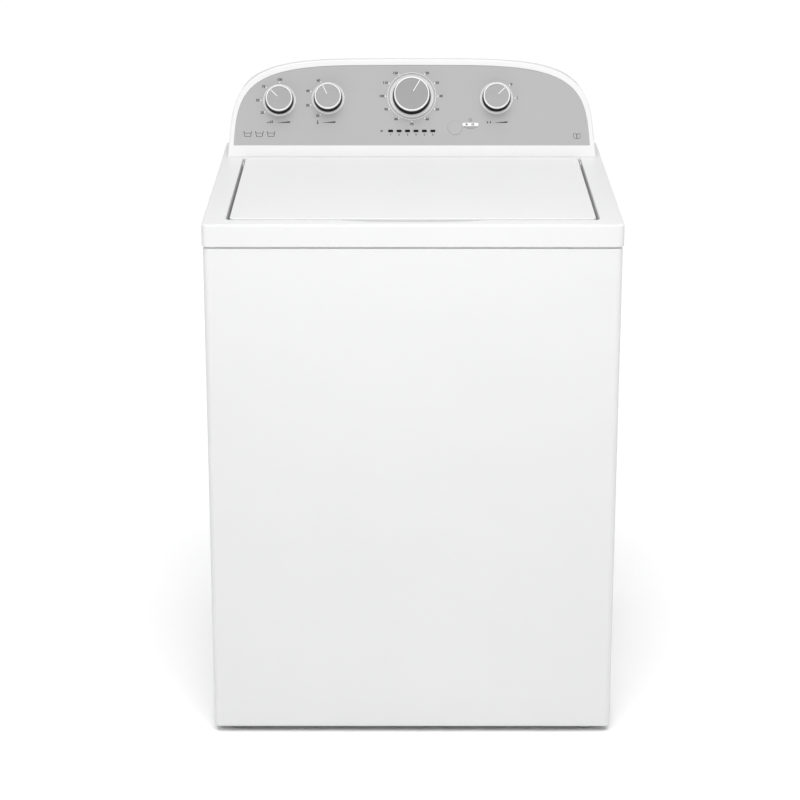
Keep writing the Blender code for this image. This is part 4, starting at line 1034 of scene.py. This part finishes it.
def cord_inlet():
    """Bush where the mains lead enters."""
    low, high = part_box("cord_inlet")
    centre = (low + high) / 2
    at = Matrix.Translation((centre.x, COVER_HIGH.y, centre.z)) @ axis_to((0, 1, 0))
    profile = eased([(0.0140, 0.0074, 0.0016), (0.0140, 0.0002, 0.0006), (0.0098, 0.0002, 0), (0.0098, -0.0064, 0.0006),
                     (0.0055, -0.0064, 0.0006), (0.0055, 0.0074, 0.0016)])
    piece("cord_bush", shape(turn, profile, at), BLACK, "cabinet", ["cord_inlet"])


def drain_outlet():
    """Barbed drain fitting through the rear wall."""
    low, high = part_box("drain_outlet")
    centre = (low + high) / 2
    at = Matrix.Translation((centre.x, REAR_HIGH.y, centre.z)) @ axis_to((0, 1, 0))
    profile = [(0.0148, 0.0280, 0.0004), (0.0160, 0.0240, 0.0004), (0.0148, 0.0235, 0.0002), (0.0160, 0.0180, 0.0004),
               (0.0148, 0.0175, 0.0002), (0.0160, 0.0120, 0.0004), (0.0148, 0.0115, 0.0002), (0.0150, 0.0040, 0.0015),
               (0.0260, 0.0040, 0.0012), (0.0260, 0.0003, 0.0004), (0.0190, 0.0003, 0), (0.0190, -0.0100, 0.0010),
               (0.0150, -0.0100, 0.0004), (0.0150, -0.0220, 0.0006), (0.0110, -0.0220, 0.0006), (0.0110, 0.0280, 0.0006)]
    piece("drain_fitting", shape(turn, eased(profile), at), BLACK, "cabinet", ["drain_outlet"])
    screws = shape(screw_heads, [(centre.x + side * 0.0215, REAR_HIGH.y + 0.004, centre.z) for side in (-1, 1)], (0, 1, 0),
                   radius=0.0035)
    piece("drain_screws", screws, STEEL, "cabinet")


# ---------------------------------------------------------------- basket and agitator
def perforated_wall(bm, radius, low, high, columns, rows, hole):
    """Cylinder wall as square cells, each with a round hole."""
    sides = 8
    cell_angle = math.tau / columns
    cell_height = (high - low) / rows

    def on_wall(across, up):
        angle = across * cell_angle
        return TUB_AXIS @ Vector((radius * math.cos(angle), radius * math.sin(angle), low + up * cell_height))

    for column in range(columns):
        for row in range(rows):
            rim, edge = [], []
            for i in range(sides):
                angle = math.tau * i / sides
                x, y = math.cos(angle), math.sin(angle)
                grow = 0.5 / max(abs(x), abs(y))
                edge.append(bm.verts.new(on_wall(column + 0.5 + x * grow, row + 0.5 + y * grow)))
                rim.append(bm.verts.new(on_wall(column + 0.5 + x * hole / (radius * cell_angle),
                                                row + 0.5 + y * hole / cell_height)))
            for i in range(sides):
                j = (i + 1) % sides
                bm.faces.new((edge[i], edge[j], rim[j], rim[i]))


def basket():
    """Stainless basket: perforated wall, plain bands, and a ribbed floor."""
    radius = BASKET_HIGH.x - TUB_AXIS.translation.x
    low, high = BASKET_LOW.z, BASKET_HIGH.z
    band_low, band_high = low + 0.060, high - 0.030
    columns = 64
    wall = bmesh.new()
    perforated_wall(wall, radius, band_low, band_high, columns, 13, 0.0022)
    sides = columns * 2

    def ring_at(ring_radius, z):
        return [TUB_AXIS @ Vector((x, y, z)) for x, y in circle(0, 0, ring_radius, sides)]

    lower = [(radius, band_low), (radius, low + 0.024)]
    lower += [(radius - 0.015 + 0.015 * math.cos(math.radians(a)), low + 0.020 - 0.020 * math.sin(math.radians(a)))
              for a in (15, 30, 45, 60, 75, 90)]
    lower += [(0.200, low), (0.196, low + 0.003), (0.150, low + 0.003), (0.146, low), (0.060, low)]
    skin(wall, [ring_at(r, z) for r, z in lower[::-1]])
    skin(wall, [ring_at(radius, band_high), ring_at(radius, high)])
    bmesh.ops.remove_doubles(wall, verts=wall.verts, dist=0.00005)
    for face in wall.faces:
        outward = face.calc_center_median() - TUB_AXIS.translation
        side = Vector((outward.x, outward.y, 0)).normalized()
        facing = side if face.calc_center_median().z > low + 0.012 else Vector((0, 0, -1))
        if face.normal.length == 0:
            face.normal_update()
        if face.normal.dot(facing) < 0:
            face.normal_flip()
    piece("basket_shell", wall, STAINLESS, "basket", ["wash_basket"], sheet=0.0014, angle=40)


def balance_ring():
    """Grey ring on the basket's rim, with a stepped top."""
    low = BASKET_HIGH.z + FIT
    top = BALANCE_HIGH.z
    profile = eased([(0.252, top, 0.003), (0.257, top - 0.007, 0.002), (0.257, low - 0.010, 0.001),
                     (0.2515, low - 0.010, 0.001), (0.2515, low, 0), (0.222, low, 0.003), (0.216, low + 0.008, 0.003),
                     (0.216, top - 0.008, 0.004), (0.223, top, 0.003), (0.232, top, 0.001), (0.234, top - 0.0015, 0.001),
                     (0.242, top - 0.0015, 0.001), (0.244, top, 0.001)])
    piece("balance_ring_moulding", shape(turn, profile, TUB_AXIS, WIDE), TUB, "basket",
          ["balance_ring"])


def tub_ring():
    """Splash ring snapped on the tub's rim."""
    rim = TUB_HIGH.z + FIT
    outer = RING_HIGH.x - TUB_AXIS.translation.x
    profile = eased([(outer, rim + 0.004, 0.001), (outer, rim - 0.012, 0.001), (outer - 0.003, rim - 0.012, 0.0005),
                     (outer - 0.003, rim, 0), (0.232, rim, 0.001), (0.232, rim + 0.004, 0.001),
                     (0.226, rim + 0.009, 0.0005), (0.229, rim + 0.010, 0.0005), (0.236, rim + 0.006, 0.002)])
    piece("splash_ring", shape(turn, profile, TUB_AXIS, WIDE), TUB, "tub", ["tub_ring"])


def outer_tub():
    """Moulded tub with stiffening hoops and the four spring ears."""
    radius = 0.272
    wall = 0.0035
    low, high = TUB_LOW.z, TUB_HIGH.z
    profile = [(radius, high, 0)]
    for z in (0.760, 0.660, 0.560, 0.460):
        profile += [(radius, z + 0.0025, 0.001), (radius + 0.004, z + 0.0020, 0.001),
                    (radius + 0.004, z - 0.0020, 0.001), (radius, z - 0.0025, 0.001)]
    profile += [(radius - 0.010, low + 0.025, 0.020), (radius - 0.027, low, 0.006), (0.050, low, 0.0005),
                (0.050, low + wall, 0.0005), (radius - 0.028, low + wall, 0.004),
                (radius - 0.010 - wall, low + 0.026, 0.020), (radius - wall, high, 0)]
    tub = shape(turn, eased(profile), TUB_AXIS, WIDE)
    reach = 0.262 * math.sqrt(2)
    joined, holes = [], []
    for corner in range(4):
        at = TUB_AXIS @ Matrix.Rotation(math.radians(45 + 90 * corner), 4, "Z")
        joined.append(shape(block, (radius - 0.0125, -0.025, 0.360), (reach + 0.022, 0.025, 0.385), at, 0.003))
        for side in (-1, 1):
            joined.append(shape(block, (radius - 0.008, side * 0.020 - 0.002, 0.380),
                                (radius + 0.030, side * 0.020 + 0.002, 0.430), at, 0.001))
        hole = [(0, 0.35), (0.010, 0.35), (0.010, 0.395), (0, 0.395)]
        holes.append(shape(turn, hole, at @ Matrix.Translation((reach, 0, 0)), 32, ring=False))
    piece("tub_moulding", tub, TUB, "tub", ["outer_tub"], joined=joined, cut=holes)


def basket_hub():
    """Cast hub with the spin tube."""
    floor = BASKET_LOW.z + 0.0018
    low = TUB_LOW.z + 0.006
    profile = eased([(0.050, floor + 0.018, 0.004), (0.090, floor + 0.008, 0.003), (0.090, floor, 0.0005),
                     (0.055, floor, 0.0005), (0.055, low, 0.002), (0.022, low, 0.002), (0.022, 0.300, 0.001),
                     (0.011, 0.300, 0.0005), (0.011, floor + 0.018, 0.001)])
    piece("hub_casting", shape(turn, profile, TUB_AXIS), CASTING, "basket", ["basket_hub"])


def agitator():
    """Flared skirt, ribbed barrel and four swept fins in one moulding."""
    top = AGITATOR_HIGH.z
    profile = eased([(0.040, top, 0.001), (0.040, 0.600, 0.004), (0.055, 0.597, 0.003), (0.057, 0.470, 0.020),
                     (0.086, 0.430, 0.020), (0.165, 0.392, 0.006), (0.168, 0.380, 0.001), (0.164, 0.380, 0.001),
                     (0.160, 0.389, 0.004), (0.083, 0.424, 0.018), (0.060, 0.436, 0.006), (0.0105, 0.436, 0.0005),
                     (0.0105, 0.452, 0.0005), (0.037, 0.452, 0.002), (0.037, top, 0.001)], steps=6)
    body = shape(turn, profile, TUB_AXIS, 96)
    outline = eased([(0.048, 0.440, 0), (0.150, 0.396, 0.001), (0.160, 0.405, 0.006), (0.160, 0.452, 0.020),
                     (0.136, 0.492, 0.030), (0.080, 0.560, 0.030), (0.048, 0.590, 0.004)], steps=8)
    fins = []
    for i in range(4):
        at = TUB_AXIS @ Matrix.Rotation(math.radians(45 + 90 * i), 4, "Z") @ Matrix.Rotation(math.pi / 2, 4, "X")
        fin = bmesh.new()
        middle = Vector((0.055, 0.500))
        loops = []
        for share, side in ((0.0022, -0.0040), (0.0006, -0.0032), (0.0, -0.0016), (0.0, 0.0016), (0.0006, 0.0032),
                            (0.0022, 0.0040)):
            loop = []
            for x, z in outline:
                inward = (middle - Vector((x, z))).normalized() * share
                loop.append(at @ Vector((x + inward.x, z + inward.y, side)))
            loops.append(loop)
        skin(fin, loops, cap_first=True, cap_last=True)
        bmesh.ops.recalc_face_normals(fin, faces=fin.faces)
        fins.append(fin)
    piece("agitator_moulding", body, WHITE, "agitator", ["agitator"], joined=fins, angle=40)


def auger():
    """Sleeve with two helical vanes whose edges are rounded."""
    low, high = AUGER_LOW.z, AUGER_HIGH.z
    inner = 0.0425
    sleeve = shape(turn, eased([(0.053, high, 0.0015), (0.053, low, 0.0015), (inner, low, 0.001),
                                (inner, 0.703, 0.001), (0.034, 0.706, 0.001), (0.034, high, 0.001)]), TUB_AXIS, 96)
    steps = 72
    start_z, end_z = low + 0.008, high - 0.012
    vanes = []
    for start in (0, 180):
        rings = []
        for i in range(steps + 1):
            angle = math.radians(start + 330 * i / steps)
            height = start_z + (end_z - start_z) * i / steps
            fade = min(1.0, i / 5, (steps - i) / 5)
            outer = 0.0535 + 0.0205 * math.sin(fade * math.pi / 2)
            section = [(0.047, 0.0042), (outer - 0.004, 0.0022), (outer - 0.0012, 0.0018), (outer, 0.0007),
                       (outer, -0.0007), (outer - 0.0012, -0.0018), (outer - 0.004, -0.0022), (0.047, -0.0042)]
            rings.append([TUB_AXIS @ Vector((r * math.cos(angle), r * math.sin(angle), height + lift))
                          for r, lift in section])
        vane = bmesh.new()
        skin(vane, rings, cap_first=True, cap_last=True)
        bmesh.ops.recalc_face_normals(vane, faces=vane.faces)
        vanes.append(vane)
    piece("auger_moulding", sleeve, WHITE, "auger", ["auger"], joined=vanes, angle=40)


def agitator_cap():
    """Domed cap with a grip bar across its dish."""
    low, high = CAP_LOW.z, CAP_HIGH.z
    seat = AUGER_HIGH.z + FIT
    profile = eased([(0, high - 0.008, 0), (0.026, high - 0.008, 0.004), (0.034, high, 0.003), (0.044, high - 0.003, 0.006),
                     (0.053, high - 0.020, 0.008), (0.053, seat, 0.001), (0.033, seat, 0), (0.033, low, 0.001), (0, low, 0)],
                    closed=False, steps=6)
    cap = shape(turn, profile, TUB_AXIS, 96, ring=False)
    grip = shape(block, (-0.030, -0.004, high - 0.012), (0.030, 0.004, high - 0.001), TUB_AXIS, 0.002)
    piece("cap_moulding", cap, CAP_BLUE, "cap", ["agitator_cap"], joined=[grip])


def inlet_spout():
    """Water spout under the rear ledge."""
    low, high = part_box("inlet_nozzle")
    back = NECK[2] + 0.0021
    body = shape(block, (low.x, back, low.z), (high.x, high.y, high.z), Matrix(), 0.0025)
    lip = shape(block, (low.x + 0.008, low.y, low.z), (high.x - 0.008, back + 0.010, low.z + 0.0053), Matrix(), 0.0012)
    mouth = shape(block, (low.x + 0.011, low.y - 0.005, low.z + 0.0014), (high.x - 0.011, back + 0.006, low.z + 0.0039))
    piece("inlet_spout", body, GREY, "cabinet", ["inlet_nozzle"], joined=[lip], cut=[mouth])


# ---------------------------------------------------------------- suspension and drive
def springs():
    """Coil springs between the rods' caps and the tub's ears."""
    for end in ("front", "rear"):
        for side in ("left", "right"):
            node = "suspension_spring_" + end + "_" + side
            low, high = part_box(node)
            centre = (low + high) / 2
            wire = 0.0016
            coil = (high.x - low.x) / 2 - wire
            turns, steps = 7, 24
            points = []
            for i in range(turns * steps + 1):
                share = i / (turns * steps)
                eased_share = min(1, max(0, (share - 0.10) / 0.80))
                height = low.z + wire + (high.z - low.z - 2 * wire) * eased_share
                angle = math.tau * i / steps
                points.append((centre.x + coil * math.cos(angle), centre.y + coil * math.sin(angle), height))
            bm = shape(tube, points, wire, 10)
            mesh = bpy.data.meshes.new("spring")
            bm.to_mesh(mesh)
            bm.free()
            smooth(mesh)
            mesh.materials.append(STEEL)
            obj = bpy.data.objects.new("coil_spring_" + end + "_" + side, mesh)
            bpy.context.scene.collection.objects.link(obj)
            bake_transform(obj)
            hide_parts(node)


def drain_hose():
    """Ribbed hose from the pump to the drain fitting."""
    low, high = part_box("drain_hose")
    radius = (high.x - low.x) / 2
    x = (low.x + high.x) / 2
    start = Vector((x, low.y, low.z + radius))
    end = Vector((x, high.y, high.z - radius))
    straight = 0.020
    steps = 150
    points, radii = [], []
    for i in range(steps + 1):
        share = i / steps
        y = start.y + (end.y - start.y) * share
        along = min(1, max(0, (y - start.y - straight) / (end.y - start.y - 2 * straight)))
        ease = along * along * (3 - 2 * along)
        points.append((x, y, start.z + (end.z - start.z) * ease))
        ribbed = straight < y - start.y < end.y - start.y - straight
        radii.append(radius * (0.90 + 0.10 * math.cos(i * math.pi / 2)) if ribbed else radius * 0.96)
    bm = shape(tube, points, radius, 32, radii=radii)
    mesh = bpy.data.meshes.new("hose")
    bm.to_mesh(mesh)
    bm.free()
    smooth(mesh, 60)
    mesh.materials.append(GREY)
    obj = bpy.data.objects.new("ribbed_drain_hose", mesh)
    bpy.context.scene.collection.objects.link(obj)
    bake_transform(obj)
    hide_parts("drain_hose")


def carried_over(materials):
    """Give the frame's own pieces rounded edges and their finish."""
    for node, (material, width) in materials.items():
        obj = frame["nodes"][node]
        obj.data.materials.clear()
        obj.data.materials.append(material)
        weld = obj.modifiers.new("Weld", "WELD")
        weld.merge_threshold = 0.00002
        rounding = obj.modifiers.new("Rounding", "BEVEL")
        rounding.width = width
        rounding.segments = 2
        rounding.limit_method = "ANGLE"
        rounding.angle_limit = math.radians(40)
        even_normals(obj)


def inner_pieces():
    """Finishes of the pieces that keep the frame's own shape."""
    materials = {"control_board": (BOARD, 0.0002), "lid_lock": (BLACK, 0.0005), "lock_bolt": (STEEL, 0.0004),
                 "hinge_bushing_left": (WHITE, 0.0002), "hinge_bushing_right": (WHITE, 0.0002),
                 "lid_hinge_left": (STEEL, 0.0003), "lid_hinge_right": (STEEL, 0.0003),
                 "lid_strike": (STEEL, 0.0003), "gearcase": (CASTING, 0.0015), "motor": (STEEL, 0.0010),
                 "pump": (GREY, 0.0010), "drive_belt": (RUBBER, 0.0003), "drive_pulley": (STEEL, 0.0004),
                 "motor_pulley": (STEEL, 0.0004), "drive_shaft": (STEEL, 0.0004),
                 "front_base_brace": (ZINC, 0.0003), "rear_base_brace": (ZINC, 0.0003)}
    for end in ("front", "rear"):
        for side in ("left", "right"):
            materials["corner_brace_" + end + "_" + side] = (ZINC, 0.0003)
            materials["suspension_rod_" + end + "_" + side] = (STEEL, 0.0004)
    carried_over(materials)


# ---------------------------------------------------------------- stage, lights and camera
def floor():
    """Wide pale floor."""
    bm = bmesh.new()
    bmesh.ops.create_grid(bm, x_segments=8, y_segments=8, size=12)
    mesh = bpy.data.meshes.new("floor")
    bm.to_mesh(mesh)
    bm.free()
    mesh.materials.append(finish("floor_paint", (0.985, 0.985, 0.985), 0.85, grain=60, variation=0.004, spread=0.03))
    obj = bpy.data.objects.new("floor", mesh)
    bpy.context.scene.collection.objects.link(obj)


def area_light(name, place, target, size, power):
    """Large soft lamp that faces a target."""
    lamp = bpy.data.lights.new(name, "AREA")
    lamp.shape = "RECTANGLE"
    lamp.size, lamp.size_y = size
    lamp.energy = power
    obj = bpy.data.objects.new(name, lamp)
    bpy.context.scene.collection.objects.link(obj)
    obj.location = place
    obj.rotation_euler = (Vector(target) - Vector(place)).to_track_quat("-Z", "Y").to_euler()
    obj.visible_camera = False


def surroundings():
    """Soft dome that is brightest overhead. It shows as plain white behind the machine."""
    world = bpy.data.worlds.new("studio")
    world.use_nodes = True
    nodes = world.node_tree.nodes
    link = world.node_tree.links.new
    direction = nodes.new("ShaderNodeTexCoord")
    parts = nodes.new("ShaderNodeSeparateXYZ")
    ramp = nodes.new("ShaderNodeValToRGB")
    stops = ((0.0, 0.58), (0.12, 0.32), (0.45, 0.36), (1.0, 0.98))
    ramp.color_ramp.elements.remove(ramp.color_ramp.elements[1])
    for position, level in stops:
        stop = ramp.color_ramp.elements[0] if position == 0 else ramp.color_ramp.elements.new(position)
        stop.color = (level, level, level, 1)
    link(direction.outputs["Generated"], parts.inputs[0])
    link(parts.outputs["Z"], ramp.inputs["Fac"])
    behind = nodes.new("ShaderNodeMix")
    behind.data_type = "RGBA"
    behind.inputs[7].default_value = (1, 1, 1, 1)
    link(nodes.new("ShaderNodeLightPath").outputs["Is Camera Ray"], behind.inputs[0])
    link(ramp.outputs["Color"], behind.inputs[6])
    link(behind.outputs[2], nodes["Background"].inputs["Color"])
    bpy.context.scene.world = world


def studio():
    """White surroundings, a wide soft light from above and a lamp above the front."""
    surroundings()
    bpy.context.scene.view_settings.view_transform = "Standard"
    sky = bpy.data.lights.new("overhead", "SUN")
    sky.energy = 1.34
    sky.angle = math.radians(45)
    overhead = bpy.data.objects.new("overhead", sky)
    bpy.context.scene.collection.objects.link(overhead)
    overhead.rotation_euler = (math.radians(12), 0, 0)
    area_light("front_lamp", (0, -1.45, 1.65), (0, -0.3, 0.90), (1.7, 0.7), 12.0)


def camera():
    """The view from the front and above."""
    lens = bpy.data.cameras.new("camera")
    lens.lens = 112.3
    lens.sensor_width = 36
    obj = bpy.data.objects.new("camera", lens)
    bpy.context.scene.collection.objects.link(obj)
    obj.location = (-0.0185, -4.341, 1.9054)
    pitch_down = 0.3122
    obj.rotation_euler = (math.pi / 2 - pitch_down, 0, 0.0007)
    bpy.context.scene.camera = obj


# ---------------------------------------------------------------- the whole machine
camera()
studio()
floor()
cabinet_wrap()
rear_panel()
levelling_feet()
top_panel()
lid_panel()
lid_liner()
console_shell()
fascia()
lenses()
for knob_name, pointer in (("load", -45), ("temperature", -25), ("cycle", 30), ("rinse", 45)):
    knob(knob_name, pointer)
bezel("cycle", ((0.0450, 0.0009), (0.0405, 0.0009)), (0.0358, 0.0396))
for knob_name in ("load", "temperature", "rinse"):
    bezel(knob_name, ((0.0303, 0.0011),), (0.0268, 0.0290))
start_button()
printed_marks()
rear_cover()
inlet_valve()
cord_inlet()
drain_outlet()
basket()
balance_ring()
tub_ring()
outer_tub()
basket_hub()
agitator()
auger()
agitator_cap()
inlet_spout()
springs()
drain_hose()
inner_pieces()
